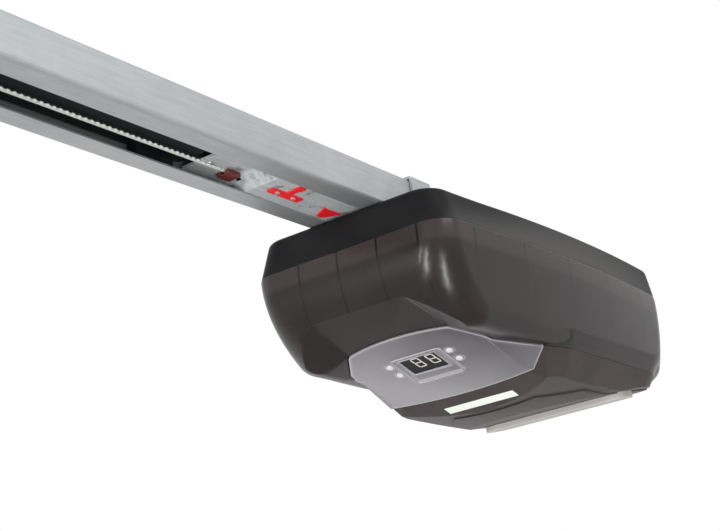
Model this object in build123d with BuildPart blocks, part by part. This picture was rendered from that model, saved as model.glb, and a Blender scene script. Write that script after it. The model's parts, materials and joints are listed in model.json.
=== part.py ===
"""Ceiling garage door opener: motor head with smoked cover, slotted steel rail, belt drive and carriage.

Millimetres, +Z up. The rail runs along Y with the door at the -Y end. Z = 0 is the top of the head,
which is also the underside of the rail, and the origin is the centre of the head's hanger bolts.
"""

import os
from math import atan, cos, pi, radians, tan

from build123d import *

os.makedirs("parts", exist_ok=True)

# Head: plan at its widest level
HEAD_LENGTH = 362.0
HEAD_HALF_WIDTH = 90.5
NOSE_HALF_WIDTH = 84.0
TAIL_HALF_WIDTH = 81.5
SHOULDER_SETBACK = 80.0
SHOULDER_DROP = 2.5
NOSE_RADIUS = 20.0
TAIL_RADIUS = 36.0

# Head: levels below its top, and how far each draws in from the widest plan
WIDEST_DEPTH = 27.5
CHIN_DEPTH = 62.0
DOME_DEPTH = 95.0
FLARE = 3.0
TOP_CHEEK_INSET = 9.0
TOP_HIP_INSET = 3.0
TOP_TAIL_INSET = 2.5
CHIN_RAKE = 3.0
CHIN_CHEEK_INSET = 2.4
CHIN_HIP_INSET = 2.0
CHIN_RADIUS = 28.0
FLOOR_RAKE = 24.0
FLOOR_CHEEK_INSET = 6.0
FLOOR_HIP_INSET = 9.0
FLOOR_TAIL_INSET = 4.0
FLOOR_RADIUS = 45.0
TOP_RADIUS = 5.0
CREASE_RADIUS = 14.0
WALL = 2.4
PARTING_FRONT = 26.5
PARTING_BACK = 24.0
PARTING_GAP = 0.3
VENT_LENGTH = 30.0
VENT_WIDTH = 3.0
VENT_PITCH = 8.0
VENT_COUNT = 9
VENT_SETBACK = 32.0

# Belly: the crowned wedge that hangs under the dome, sizes measured back from the head's front face
BELLY_PLANE_Z = -68.6
BELLY_SLOPE = 0.312
BELLY_LOW = 185.0
BELLY_BACK = 348.0
BELLY_BACK_Z = -98.0
BELLY_ROOT_Z = -82.0
BELLY_FOOT_Z = -132.0
BELLY_FRONT = 42.0
BELLY_KNEE = 80.0
BELLY_KNEE_HALF = 63.0
BELLY_HIP = 165.0
BELLY_HALF_WIDTH = 88.0
BELLY_DRAFT = 27.0
BELLY_TAIL_RADIUS = 44.0
CROWN_LOW_Z = -122.0
CROWN_RADIUS = 330.0
CROWN_LENGTH = 420.0
CROWN_SAG = 9.0
PAD_FRONT = 180.0
PAD_FRONT_HALF = 36.6
PAD_REAR = 216.0
PAD_REAR_HALF = 62.5
PAD_RISE = 1.0
RECESS_LEAD = 20.0
RECESS_HALF_WIDTH = 35.0
RECESS_DRAFT = 62.0
RECESS_DEPTH = 30.0
RECESS_END = 105.0

# Control lens in the belly
LENS_FRONT = 55.0
LENS_NOSE = 6.5
LENS_KNEE = 76.0
LENS_REAR = 132.0
LENS_BOW = 8.0
LENS_FRONT_HALF = 44.0
LENS_KNEE_HALF = 58.0
LENS_REAR_HALF = 73.0
LENS_WRAP = 15.5
LENS_PROUD = 1.2
LENS_GAP = 0.4
LENS_WALL = 2.4
LENS_CORNER = 7.0
WINDOW_WIDTH = 31.0
WINDOW_HEIGHT = 21.9
WINDOW_SETBACK = 87.4
BEZEL = 1.8
BEZEL_HEIGHT = 1.0
RIM_WIDTH = 44.0
RIM_LENGTH = 40.0
RIM_OFFSET = 4.9
RIM = 2.0
RIM_HEIGHT = 1.3
POCKET_DEPTH = 0.8
BUTTON_RADIUS = 2.9
BUTTON_GAP = 0.35
BUTTON_SPACING = 13.2
BUTTON_OFFSET = 26.2
BUTTON_HEIGHT = 1.6
BUTTON_TRAVEL = 0.8
BUTTON_DOME = 4.1

# Light lens under the tail
LIGHT_CENTRE = 287.0
LIGHT_HALF_WIDTH = 65.0
LIGHT_LENGTH = 36.0
LIGHT_PROUD = 5.5
LIGHT_RADIUS = 12.0
LIGHT_GAP = 0.3
LIGHT_WALL = 2.0
LIGHT_RIM = 5.0
LIGHT_INWARD = 12.0

# Rail
RAIL_LENGTH = 786.0
RAIL_WIDTH = 64.0
RAIL_HEIGHT = 28.4
RAIL_SHEET = 1.2
RAIL_SLOT = 31.0
RAIL_BEND = 3.0
RAIL_OVERLAP = 70.0

# Saddle strap that clamps the rail on the head
SADDLE_SETBACK = 46.0
SADDLE_LENGTH = 25.0
SADDLE_SHEET = 2.0
SADDLE_FOOT = 12.0
SADDLE_GAP = 0.2

# Belt drive
PULLEY_TEETH = 16
BELT_PITCH = 5.0
BELT_THICKNESS = 1.8
BELT_WIDTH = 8.0
BELT_Z = 9.6
BELT_CLEARANCE = 0.4
TOOTH_DEPTH = 1.6
FLANGE_SHEET = 1.4
FLANGE_LIP = 2.8
FLANGE_GAP = 0.8
DRIVE_SETBACK = 28.0
IDLER_SETBACK = 44.0
OUTPUT_RADIUS = 5.0
RUNNING_FIT = 0.05
PULLEY_RADIUS = PULLEY_TEETH * BELT_PITCH / (2 * pi)

# Gearbox and motor
WHEEL_TEETH = 32
WHEEL_RADIUS = 16.0
WHEEL_WIDTH = 10.0
WHEEL_TOOTH = 1.8
TOOTH_WIDTH = 1.25
WORM_RADIUS = 4.4
WORM_SHAFT_RADIUS = 2.5
WORM_LENGTH = 24.0
MESH_GAP = 0.5
GEAR_Z = -24.0
GEARBOX_WALL = 2.5
GEARBOX_LID = 3.0
GEARBOX_DEPTH = 38.0
GEARBOX_LENGTH = 56.0
BEARING_WALL = 3.0
BEARING_WIDTH = 5.0
MOTOR_RADIUS = 20.5
MOTOR_LENGTH = 66.0
MOTOR_CAP = 9.0
MOTOR_CHAMFER = 2.2
MOTOR_FLAT = 16.5

# Carriage
CARRIAGE_LENGTH = 250.0
CARRIAGE_SETBACK = 139.0
CARRIAGE_Z = 12.5
CARRIAGE_HALF_WIDTH = 27.0
CARRIAGE_TOP_GAP = 1.3
SHOE_WIDTH = 10.0
SHOE_LENGTH = 34.0
SLIDE_GAP = 0.3
SHOE_SIDE_GAP = 1.0
STEM_LENGTH = 26.0
STEM_HALF_WIDTH = 8.5
STEM_INSET = 36.0
LUG_DROP = 34.0
LUG_TOP = -8.0
LUG_SHEET = 3.0
LUG_RADIUS = 8.0
ARM_BORE = 4.1
SHOE_INSET = 12.0
CLAMP_LENGTH = 40.0
CLAMP_SHEET = 1.5
CLAMP_INSET = 70.0
CHANNEL_GAP = 1.2
ARM_BORE_Z = -24.0
LEVER_INSET = 10.0
LEVER_LENGTH = 36.0
LEVER_HALF_WIDTH = 5.5
LEVER_HUB = 4.0
LEVER_PIN = 2.0
LEVER_EAR = 3.0
LEVER_GAP = 0.4
LEVER_Z = 1.0
LEVER_BAR = 5.0
LEVER_RADIUS = 5.0
CORD_HOLE = 2.2

# Drive station plate in the rail, with its catches
STATION_SHEET = 1.5
STATION_HALF_WIDTH = 28.0
STATION_REACH = 135.0
STATION_TONGUE = 36.0
STATION_RAMP = 12.0
TONGUE_Z = 9.8
CATCH_SHEET = 1.0
CATCH_WIDTH = 6.5
CATCH_LENGTH = 33.0
CATCH_X = -2.0
CATCH_SETBACK = 61.0
CATCH_STEM = 13.0
CATCH_NECK = 5.2
CATCH_TIP = 7.8
RIVET_RADIUS = 1.1
RIVET_HEAD = 1.8
RIVET_PITCH = 17.0
HOOK_LENGTH = 20.0
HOOK_WIDTH = 12.0
HOOK_SETBACK = 9.0
HOOK_X = -6.5
HOOK_ANGLE = 60.0
GUIDE_LENGTH = 12.0
GUIDE_HEIGHT = 3.2
GUIDE_SIDE = 3.0

# Door end of the rail
END_PLATE = 6.0
END_PLUG = 14.0
END_GAP = 0.4
YOKE_SHEET = 2.0
YOKE_HALF_WIDTH = 11.0
YOKE_GAP = 0.6
AXLE_RADIUS = 3.0
TENSION_RADIUS = 3.0
TENSION_LENGTH = 44.0
TENSION_NUT = 5.5
TENSION_Z = 14.2
EAR_SHEET = 5.0
EAR_X = 18.0
EAR_REACH = 30.0
EAR_HEIGHT = 14.0
EAR_RADIUS = 6.3
PIN_RADIUS = 3.5
BRACKET_SHEET = 2.5
BRACKET_WIDTH = 76.0
BRACKET_HEIGHT = 40.0
BRACKET_DEPTH = 22.0

# Boards and electrics
BOARD_WIDTH = 62.0
BOARD_LENGTH = 150.0
BOARD_INNER_EDGE = 8.0
BOARD_Y = 10.0
BOARD_SHEET = 1.6
POST_INSET = 10.0
PANEL_WIDTH = 84.0
PANEL_HEIGHT = 46.0
PANEL_DROP = 6.0
PANEL_POST = 2.2
SWITCH_SIZE = 6.0
SWITCH_HEIGHT = 3.4
SWITCH_GAP = 0.15
BUTTON_FLANGE = 4.2
BUTTON_FLANGE_SHEET = 0.8
DISPLAY_GAP = 0.2
DISPLAY_SINK = 1.0
RELAY_SIZE = (15.0, 19.0, 15.5)
CAPACITOR_RADIUS = 8.0
CAPACITOR_HEIGHT = 26.0
TERMINAL_SIZE = (9.0, 46.0, 12.0)
CORE_SIZE = (50.0, 20.0, 42.0)
COIL_SIZE = (34.0, 36.0, 25.0)
CORE_LEG = 14.0
COIL_GAP = 0.2
TRANSFORMER_X = 22.0
TRANSFORMER_SETBACK = 60.0
LED_BOARD_INSET = 4.0
LED_SIZE = 5.0
LED_HEIGHT = 1.4
LED_PITCH = 16.0
LED_COLUMNS = 7
LED_ROWS = 2
SCREW_RADIUS = 2.0
SCREW_HEAD = 4.2
SCREW_HEAD_HEIGHT = 2.6
SCREW_LENGTH = 10.0
GEAR_ROOM = 1.0

# Four hanger bolts in the head's top, two wall screws at the door end
HANGER_X = 110.0
HANGER_Y = 200.0
HANGER_HOLE = 3.2
HANGER_BOSS = 6.5
BOARD_DROP = 8.0
POST_RADIUS = 3.5
INLET_Z = -6.3
INLET_RADIUS = 4.0
INLET_BORE = 2.8
INLET_FLANGE = 5.4
INLET_SHEET = 3.5
INLET_INWARD = 6.0
INLET_ROOM = 0.3
INLET_STANDOFF = 0.6
WALL_HOLE = 4.2
WALL_HOLE_SPACING = 52.0

# Places that several pieces share
FRONT = -HEAD_LENGTH / 2
BACK = HEAD_LENGTH / 2
TOP_FRONT = FRONT + FLARE
RAIL_BACK = TOP_FRONT + RAIL_OVERLAP
RAIL_FRONT = RAIL_BACK - RAIL_LENGTH
RAIL_HALF = RAIL_WIDTH / 2
SLOPE_ANGLE = atan(BELLY_SLOPE)
DRIVE_Y = TOP_FRONT + DRIVE_SETBACK
IDLER_Y = RAIL_FRONT + IDLER_SETBACK
PARTING = Plane(
    origin=(0, 0, -(PARTING_FRONT + PARTING_BACK) / 2),
    x_dir=(1, 0, 0),
    z_dir=(0, -(PARTING_FRONT - PARTING_BACK) / HEAD_LENGTH, 1),
)
LENS_PLANE = Plane(
    origin=(0, FRONT, BELLY_PLANE_Z),
    x_dir=(-1, 0, 0),
    z_dir=(0, -BELLY_SLOPE, -1),
)
BELLY_LOW_Z = BELLY_PLANE_Z - BELLY_SLOPE * BELLY_LOW
TAIL_SLOPE = (BELLY_BACK_Z - BELLY_LOW_Z) / (BELLY_BACK - BELLY_LOW)
TAIL_PLANE = Plane(
    origin=(0, FRONT + LIGHT_CENTRE, BELLY_LOW_Z + TAIL_SLOPE * (LIGHT_CENTRE - BELLY_LOW)),
    x_dir=(-1, 0, 0),
    z_dir=(0, TAIL_SLOPE, -1),
)
DISPLAY_V = WINDOW_SETBACK / cos(SLOPE_ANGLE)
DISPLAY_PLANE = Plane(
    origin=LENS_PLANE.from_local_coords((0, DISPLAY_V, LENS_PROUD)),
    x_dir=LENS_PLANE.x_dir,
    z_dir=LENS_PLANE.z_dir,
)
BUTTON_PLACES = [
    (side * BUTTON_OFFSET, row * BUTTON_SPACING / 2) for side in (-1, 1) for row in (-1, 1)
]
BOARD_CENTRE = (-(BOARD_WIDTH / 2 + BOARD_INNER_EDGE), BOARD_Y)
BOARD_Z = -WALL - BOARD_DROP
STRAND_IN = PULLEY_RADIUS
STRAND_OUT = PULLEY_RADIUS + BELT_THICKNESS
PULLEY_TIP = PULLEY_RADIUS - BELT_CLEARANCE
FLANGE_RADIUS = PULLEY_TIP + FLANGE_LIP
PULLEY_LOW = BELT_Z - FLANGE_GAP - FLANGE_SHEET
PULLEY_HIGH = BELT_Z + BELT_WIDTH + FLANGE_GAP + FLANGE_SHEET
WORM_X = WHEEL_RADIUS + WORM_RADIUS + MESH_GAP
GEARBOX_TOP = -WALL - GEARBOX_LID
GEARBOX_FLOOR = GEARBOX_TOP - GEARBOX_DEPTH
GEARBOX_MARGIN = GEAR_ROOM + GEARBOX_WALL
GEARBOX_LEFT = -WHEEL_RADIUS - GEARBOX_MARGIN
GEARBOX_RIGHT = WORM_X + WORM_RADIUS + GEARBOX_MARGIN
GEARBOX_FRONT = DRIVE_Y - WHEEL_RADIUS - GEARBOX_MARGIN
GEARBOX_BACK = GEARBOX_FRONT + GEARBOX_LENGTH
CARRIAGE_BACK = TOP_FRONT - CARRIAGE_SETBACK
CARRIAGE_FRONT = CARRIAGE_BACK - CARRIAGE_LENGTH
CARRIAGE_TOP = RAIL_HEIGHT - RAIL_SHEET - CARRIAGE_TOP_GAP
STEM_Y = CARRIAGE_FRONT + STEM_INSET
LEVER_Y = CARRIAGE_FRONT + LEVER_INSET
SADDLE_Y = TOP_FRONT + SADDLE_SETBACK + SADDLE_LENGTH / 2
SADDLE_INNER = RAIL_HALF + SADDLE_GAP
SADDLE_SCREW_X = SADDLE_INNER + SADDLE_SHEET + SADDLE_FOOT / 2
SADDLE_SCREW_PLACES = [(-SADDLE_SCREW_X, SADDLE_Y), (SADDLE_SCREW_X, SADDLE_Y)]


def back_from_front(distance):
    """The y of a point so far behind the head's front face."""
    return FRONT + distance


def belly_z(distance):
    """Height of the sloping belly plane so far behind the head's front face."""
    return BELLY_PLANE_Z - BELLY_SLOPE * distance


def along_slope(distance):
    """Distance along the belly plane of a point so far behind the head's front face."""
    return distance / cos(SLOPE_ANGLE)


def head_plan(nose_inset, cheek_inset, hip_inset, tail_inset, nose_radius, inset):
    """Outline of the head at one level: flat nose, swelling cheeks, nearly straight flanks."""
    front = FRONT + nose_inset + inset
    back = BACK - tail_inset - inset
    cheek_half = HEAD_HALF_WIDTH - SHOULDER_DROP - cheek_inset - inset
    middle_half = HEAD_HALF_WIDTH - (cheek_inset + hip_inset) / 2 - inset
    with BuildSketch() as plan:
        with BuildLine():
            flank = ThreePointArc(
                (cheek_half, back_from_front(SHOULDER_SETBACK)),
                (middle_half, 0),
                (TAIL_HALF_WIDTH - hip_inset - inset, back),
            )
            nose_end = (NOSE_HALF_WIDTH - cheek_inset - inset, front)
            cheek = TangentArc(flank @ 0, nose_end, tangent=(flank % 0) * -1)
            Line(cheek @ 1, (0, front))
            Line(flank @ 1, (0, back))
            mirror(about=Plane.YZ)
        make_face()
        corners = plan.vertices().filter_by(lambda v: abs(v.X) > 1)
        fillet(corners.group_by(Axis.Y)[0], nose_radius - inset)
        corners = plan.vertices().filter_by(lambda v: abs(v.X) > 1)
        fillet(corners.group_by(Axis.Y)[-1], TAIL_RADIUS - inset)
    return plan.sketch


def dome_form(inset):
    """The upper body: a bowl that flares from its flat top and draws in under the chin."""
    top = head_plan(FLARE, TOP_CHEEK_INSET, TOP_HIP_INSET, TOP_TAIL_INSET, NOSE_RADIUS, inset)
    widest = head_plan(0, 0, 0, 0, NOSE_RADIUS, inset)
    chin = head_plan(CHIN_RAKE, CHIN_CHEEK_INSET, CHIN_HIP_INSET, 0, CHIN_RADIUS, inset)
    floor = head_plan(
        FLOOR_RAKE, FLOOR_CHEEK_INSET, FLOOR_HIP_INSET, FLOOR_TAIL_INSET, FLOOR_RADIUS, inset
    )
    with BuildPart() as dome:
        with BuildSketch(Plane.XY.offset(-inset)):
            add(top)
        with BuildSketch(Plane.XY.offset(-WIDEST_DEPTH)):
            add(widest)
        loft(ruled=True)
        with BuildSketch(Plane.XY.offset(-WIDEST_DEPTH)):
            add(widest)
        with BuildSketch(Plane.XY.offset(-CHIN_DEPTH)):
            add(chin)
        with BuildSketch(Plane.XY.offset(inset - DOME_DEPTH)):
            add(floor)
        loft()
        fillet(dome.edges().group_by(Axis.Z)[0], CREASE_RADIUS - inset)
        fillet(dome.edges().group_by(Axis.Z)[-1], TOP_RADIUS - inset)
    return dome.part


def belly_plan(narrowing, inset):
    """Outline of the belly at one level: narrow at the lens, full across the tail."""
    half = [
        (LENS_FRONT_HALF, BELLY_FRONT),
        (BELLY_KNEE_HALF - narrowing, BELLY_KNEE),
        (BELLY_HALF_WIDTH - narrowing, BELLY_HIP),
        (BELLY_HALF_WIDTH - narrowing, BELLY_BACK - narrowing / 2),
    ]
    points = [(x, back_from_front(d)) for x, d in half]
    with BuildSketch() as plan:
        with BuildLine():
            Polyline((0, points[0][1]), *points, (0, points[-1][1]))
            mirror(about=Plane.YZ)
        make_face()
        tail = plan.vertices().group_by(Axis.Y)[-1].filter_by(lambda v: abs(v.X) > 1)
        fillet(tail, BELLY_TAIL_RADIUS)
        if inset:
            offset(amount=-inset, kind=Kind.INTERSECTION)
    return plan.sketch


def belly_profile(inset):
    """Side view of the belly: the sloping plane down to the low point and the rise to the tail."""
    with BuildSketch() as profile:
        with BuildLine():
            Polyline(
                (back_from_front(0), 0),
                (back_from_front(0), belly_z(0)),
                (back_from_front(BELLY_LOW), BELLY_LOW_Z),
                (back_from_front(BELLY_BACK), BELLY_BACK_Z),
                (back_from_front(BELLY_BACK), 0),
                close=True,
            )
        make_face()
        if inset:
            offset(amount=-inset, kind=Kind.INTERSECTION)
    return profile.sketch


def crown_form(inset):
    """A long barrel lying under the head, whose skin rounds off the belly's low sides."""
    low = CROWN_LOW_Z + inset
    axis_z = CROWN_LOW_Z + CROWN_RADIUS
    middle = back_from_front(BELLY_LOW)
    with BuildPart() as crown:
        with BuildSketch(Plane.YZ):
            with BuildLine():
                Polyline(
                    (middle - CROWN_LENGTH / 2, low + CROWN_SAG),
                    (middle - CROWN_LENGTH / 2, axis_z),
                    (middle + CROWN_LENGTH / 2, axis_z),
                    (middle + CROWN_LENGTH / 2, low + CROWN_SAG),
                )
                ThreePointArc(
                    (middle - CROWN_LENGTH / 2, low + CROWN_SAG),
                    (middle, low),
                    (middle + CROWN_LENGTH / 2, low + CROWN_SAG),
                )
            make_face()
        revolve(axis=Axis((0, 0, axis_z), (0, 1, 0)))
    return crown.part


def belly_form(inset):
    """The drafted wedge under the dome, flat under the lens and crowned behind it."""
    root = belly_plan(0, inset)
    foot = belly_plan(BELLY_DRAFT, inset)
    side = belly_profile(inset)
    crown = crown_form(inset)
    with BuildPart() as belly:
        with BuildSketch(Plane.XY.offset(BELLY_ROOT_Z)):
            add(root)
        with BuildSketch(Plane.XY.offset(BELLY_FOOT_Z)):
            add(foot)
        loft(ruled=True)
        with BuildSketch(Plane.YZ):
            add(side)
        extrude(amount=HEAD_HALF_WIDTH, both=True, mode=Mode.INTERSECT)
        add(crown, mode=Mode.INTERSECT)
    return belly.part


def recess_outline(widening):
    """Outline on the belly plane of the recess under the nose, flaring into the lens."""
    half = [
        (RECESS_HALF_WIDTH, -RECESS_LEAD),
        (LENS_FRONT_HALF, LENS_FRONT),
        (LENS_KNEE_HALF, LENS_KNEE),
        (LENS_REAR_HALF, RECESS_END),
    ]
    right = [(x + widening, along_slope(d)) for x, d in half]
    left = [(-x, v) for x, v in reversed(right)]
    with BuildSketch() as outline:
        with BuildLine():
            Polyline(*right, *left, close=True)
        make_face()
    return outline.sketch


def recess_form(grow):
    """What the belly plane cuts out of the front lower edge, between two drafted walls."""
    floor = recess_outline(grow)
    mouth = recess_outline(grow + (RECESS_DEPTH + grow) * tan(radians(RECESS_DRAFT)))
    with BuildPart() as recess:
        with BuildSketch(LENS_PLANE.offset(-grow)):
            add(floor)
        with BuildSketch(LENS_PLANE.offset(RECESS_DEPTH)):
            add(mouth)
        loft(ruled=True)
    return recess.part


def head_form(inset):
    """The whole head: dome and belly together, with the recess under the nose."""
    dome = dome_form(inset)
    belly = belly_form(inset)
    recess = recess_form(inset)
    with BuildPart() as form:
        add(dome)
        add(belly)
        add(recess, mode=Mode.SUBTRACT)
    return form.part


def pad_form():
    """The raised panel on the lowest part of the belly."""
    skin = belly_form(-PAD_RISE)
    core = belly_form(WALL / 2)
    half = [(PAD_FRONT_HALF, PAD_FRONT), (PAD_REAR_HALF, PAD_REAR), (PAD_REAR_HALF, BELLY_BACK)]
    right = [(x, back_from_front(d)) for x, d in half]
    left = [(-x, y) for x, y in reversed(right)]
    with BuildPart() as pad:
        add(skin)
        add(core, mode=Mode.SUBTRACT)
        with BuildSketch(Plane.XY.offset(-DOME_DEPTH - PAD_RISE)):
            with BuildLine():
                Polyline(*right, *left, close=True)
            make_face()
        extrude(amount=BELLY_FOOT_Z, mode=Mode.INTERSECT)
    return pad.part


def lens_zone(grow):
    """The stretch of belly that the control lens takes up, widening to a bowed rear edge."""
    front = along_slope(LENS_FRONT) - grow
    knee = along_slope(LENS_KNEE)
    rear = along_slope(LENS_REAR) + grow
    with BuildPart() as zone:
        with BuildSketch(LENS_PLANE) as outline:
            with BuildLine():
                nose = ThreePointArc(
                    (-LENS_FRONT_HALF - grow, front), (0, front - LENS_NOSE), (LENS_FRONT_HALF + grow, front)
                )
                right = Polyline(
                    nose @ 1, (LENS_KNEE_HALF + grow, knee), (LENS_REAR_HALF + grow, rear)
                )
                tail = ThreePointArc(
                    right @ 1, (0, rear + LENS_BOW), (-LENS_REAR_HALF - grow, rear)
                )
                Polyline(tail @ 1, (-LENS_KNEE_HALF - grow, knee), nose @ 0)
            make_face()
            fillet(outline.vertices().filter_by(lambda v: abs(v.Y - front) < grow + 1), LENS_CORNER)
        extrude(amount=LENS_WRAP)
        extrude(outline.sketch, amount=-LENS_WRAP - grow)
    return zone.part


def light_zone(grow, inward):
    """The rounded block under the tail that the light lens fills."""
    with BuildPart() as zone:
        with BuildSketch(TAIL_PLANE):
            RectangleRounded(2 * (LIGHT_HALF_WIDTH + grow), LIGHT_LENGTH + 2 * grow, LIGHT_RADIUS + grow)
        extrude(amount=LIGHT_PROUD + grow)
        with BuildSketch(TAIL_PLANE):
            RectangleRounded(2 * (LIGHT_HALF_WIDTH + grow), LIGHT_LENGTH + 2 * grow, LIGHT_RADIUS + grow)
        extrude(amount=-inward)
    return zone.part


# Head shells
outer_form = head_form(0)
inner_form = head_form(WALL)
lens_skin = head_form(-LENS_PROUD)
lens_hollow = head_form(LENS_WALL - LENS_PROUD)
lens_seat = lens_zone(LENS_GAP)
lens_block = lens_zone(0)
light_seat = light_zone(LIGHT_GAP, LIGHT_INWARD)
light_block = light_zone(0, LIGHT_RIM)
light_hollow = light_zone(-LIGHT_WALL, LIGHT_RIM)
belly_pad = pad_form()

with BuildPart() as base_housing:
    add(outer_form)
    add(inner_form, mode=Mode.SUBTRACT)
    split(bisect_by=PARTING.offset(PARTING_GAP / 2), keep=Keep.TOP)
    with BuildSketch(Plane.XY.offset(-WALL)):
        with GridLocations(HANGER_X, HANGER_Y, 2, 2):
            Circle(HANGER_BOSS)
        with Locations(BOARD_CENTRE):
            with GridLocations(BOARD_WIDTH - POST_INSET, BOARD_LENGTH - POST_INSET, 2, 2):
                Circle(POST_RADIUS)
    extrude(amount=-BOARD_DROP)
    with GridLocations(HANGER_X, HANGER_Y, 2, 2):
        Hole(HANGER_HOLE)
    with BuildSketch():
        with Locations((0, BACK - VENT_SETBACK)):
            with GridLocations(VENT_PITCH, 0, VENT_COUNT, 1):
                SlotOverall(VENT_LENGTH, VENT_WIDTH, rotation=90)
    extrude(amount=-2 * WALL, mode=Mode.SUBTRACT)
    with Locations((0, DRIVE_Y)):
        Hole(OUTPUT_RADIUS + BEARING_WALL)
    with Locations(*SADDLE_SCREW_PLACES):
        Hole(SCREW_RADIUS)
    with Locations((0, BACK, INLET_Z)):
        Cylinder(INLET_RADIUS, TAIL_RADIUS, rotation=(90, 0, 0), mode=Mode.SUBTRACT)
base_housing.part.label = "base_housing"

with BuildPart() as smoked_cover:
    add(outer_form)
    add(inner_form, mode=Mode.SUBTRACT)
    split(bisect_by=PARTING.offset(-PARTING_GAP / 2), keep=Keep.BOTTOM)
    split(bisect_by=Plane.XY.offset(-DOME_DEPTH), keep=Keep.TOP)
    add(lens_seat, mode=Mode.SUBTRACT)
smoked_cover.part.label = "smoked_cover"

with BuildPart() as belly_cover:
    add(outer_form)
    add(inner_form, mode=Mode.SUBTRACT)
    split(bisect_by=Plane.XY.offset(-DOME_DEPTH - PARTING_GAP), keep=Keep.BOTTOM)
    add(belly_pad)
    add(lens_seat, mode=Mode.SUBTRACT)
    add(light_seat, mode=Mode.SUBTRACT)
belly_cover.part.label = "belly_cover"

with BuildPart() as control_lens:
    add(lens_skin)
    add(lens_hollow, mode=Mode.SUBTRACT)
    add(lens_block, mode=Mode.INTERSECT)
    with BuildSketch(DISPLAY_PLANE.offset(-POCKET_DEPTH)):
        with Locations((0, RIM_OFFSET)):
            RectangleRounded(RIM_WIDTH, RIM_LENGTH, 2 * RIM)
    extrude(amount=POCKET_DEPTH + RIM_HEIGHT)
    with BuildSketch(DISPLAY_PLANE.offset(-POCKET_DEPTH)):
        with Locations((0, RIM_OFFSET)):
            RectangleRounded(RIM_WIDTH - 2 * RIM, RIM_LENGTH - 2 * RIM, RIM)
    extrude(amount=POCKET_DEPTH + 2 * RIM_HEIGHT, mode=Mode.SUBTRACT)
    with BuildSketch(DISPLAY_PLANE.offset(-POCKET_DEPTH)):
        RectangleRounded(WINDOW_WIDTH + 2 * BEZEL, WINDOW_HEIGHT + 2 * BEZEL, BEZEL)
    extrude(amount=POCKET_DEPTH + BEZEL_HEIGHT)
    with BuildSketch(DISPLAY_PLANE.offset(-LENS_WALL)):
        with GridLocations(PANEL_WIDTH - POST_INSET, PANEL_HEIGHT - POST_INSET, 2, 2):
            Circle(PANEL_POST)
    extrude(amount=-PANEL_DROP)
    with BuildSketch(DISPLAY_PLANE.offset(BEZEL_HEIGHT)):
        Rectangle(WINDOW_WIDTH, WINDOW_HEIGHT)
    extrude(amount=-BEZEL_HEIGHT - LENS_WALL - LENS_PROUD, mode=Mode.SUBTRACT)
    with BuildSketch(DISPLAY_PLANE):
        with Locations(*BUTTON_PLACES):
            Circle(BUTTON_RADIUS + BUTTON_GAP)
    extrude(amount=-LENS_WALL - LENS_PROUD, mode=Mode.SUBTRACT)
control_lens.part.label = "control_lens"

with BuildPart() as light_lens:
    add(light_block)
    add(light_hollow, mode=Mode.SUBTRACT)
light_lens.part.label = "light_lens"

# Control panel behind the lens
with BuildPart() as control_board:
    with BuildSketch(DISPLAY_PLANE.offset(-LENS_WALL - PANEL_DROP)):
        Rectangle(PANEL_WIDTH, PANEL_HEIGHT)
    extrude(amount=-BOARD_SHEET)
control_board.part.label = "control_board"

with BuildPart() as display_module:
    with BuildSketch(DISPLAY_PLANE.offset(-LENS_WALL - PANEL_DROP)):
        Rectangle(WINDOW_WIDTH - 2 * DISPLAY_GAP, WINDOW_HEIGHT - 2 * DISPLAY_GAP)
    extrude(amount=LENS_WALL + PANEL_DROP + BEZEL_HEIGHT - DISPLAY_SINK)
display_module.part.label = "display_module"

with BuildPart() as button_switches:
    with BuildSketch(DISPLAY_PLANE.offset(-LENS_WALL - PANEL_DROP)):
        with Locations(*BUTTON_PLACES):
            Rectangle(SWITCH_SIZE, SWITCH_SIZE)
    extrude(amount=SWITCH_HEIGHT)
button_switches.part.label = "button_switches"

buttons = []
for number, place in enumerate(BUTTON_PLACES, start=1):
    stem_end = -LENS_WALL - PANEL_DROP + SWITCH_HEIGHT + BUTTON_TRAVEL + SWITCH_GAP
    with BuildPart() as button:
        with BuildSketch(DISPLAY_PLANE.offset(stem_end)):
            with Locations(place):
                Circle(BUTTON_RADIUS)
        extrude(amount=BUTTON_HEIGHT - stem_end)
        with Locations(DISPLAY_PLANE.offset(BUTTON_HEIGHT - BUTTON_DOME)):
            with Locations(place):
                Sphere(BUTTON_DOME, mode=Mode.INTERSECT)
        with BuildSketch(DISPLAY_PLANE.offset(-LENS_WALL - BUTTON_GAP)):
            with Locations(place):
                Circle(BUTTON_FLANGE)
        extrude(amount=-BUTTON_FLANGE_SHEET)
    button.part.label = f"push_button_{number}"
    buttons.append(button)

# Boards, transformer and lights
with BuildPart() as main_board:
    with BuildSketch(Plane.XY.offset(BOARD_Z)):
        with Locations(BOARD_CENTRE):
            Rectangle(BOARD_WIDTH, BOARD_LENGTH)
    extrude(amount=-BOARD_SHEET)
main_board.part.label = "main_board"

UNDER_BOARD = BOARD_Z - BOARD_SHEET
HANGING = (Align.CENTER, Align.CENTER, Align.MAX)
with BuildPart() as relays:
    with Locations((BOARD_CENTRE[0], BOARD_Y, UNDER_BOARD)):
        with GridLocations(0, RELAY_SIZE[1] + POST_INSET, 1, 2):
            Box(*RELAY_SIZE, align=HANGING)
relays.part.label = "relays"

with BuildPart() as capacitors:
    with Locations((BOARD_CENTRE[0] + BOARD_WIDTH / 4, BOARD_Y - BOARD_LENGTH / 4, UNDER_BOARD)):
        with GridLocations(0, 2 * CAPACITOR_RADIUS + POST_INSET, 1, 2):
            Cylinder(CAPACITOR_RADIUS, CAPACITOR_HEIGHT, align=HANGING)
capacitors.part.label = "capacitors"

with BuildPart() as terminal_block:
    with Locations((BOARD_CENTRE[0] - BOARD_WIDTH / 4, BOARD_Y + BOARD_LENGTH / 4, UNDER_BOARD)):
        Box(*TERMINAL_SIZE, align=HANGING)
terminal_block.part.label = "terminal_block"

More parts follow.
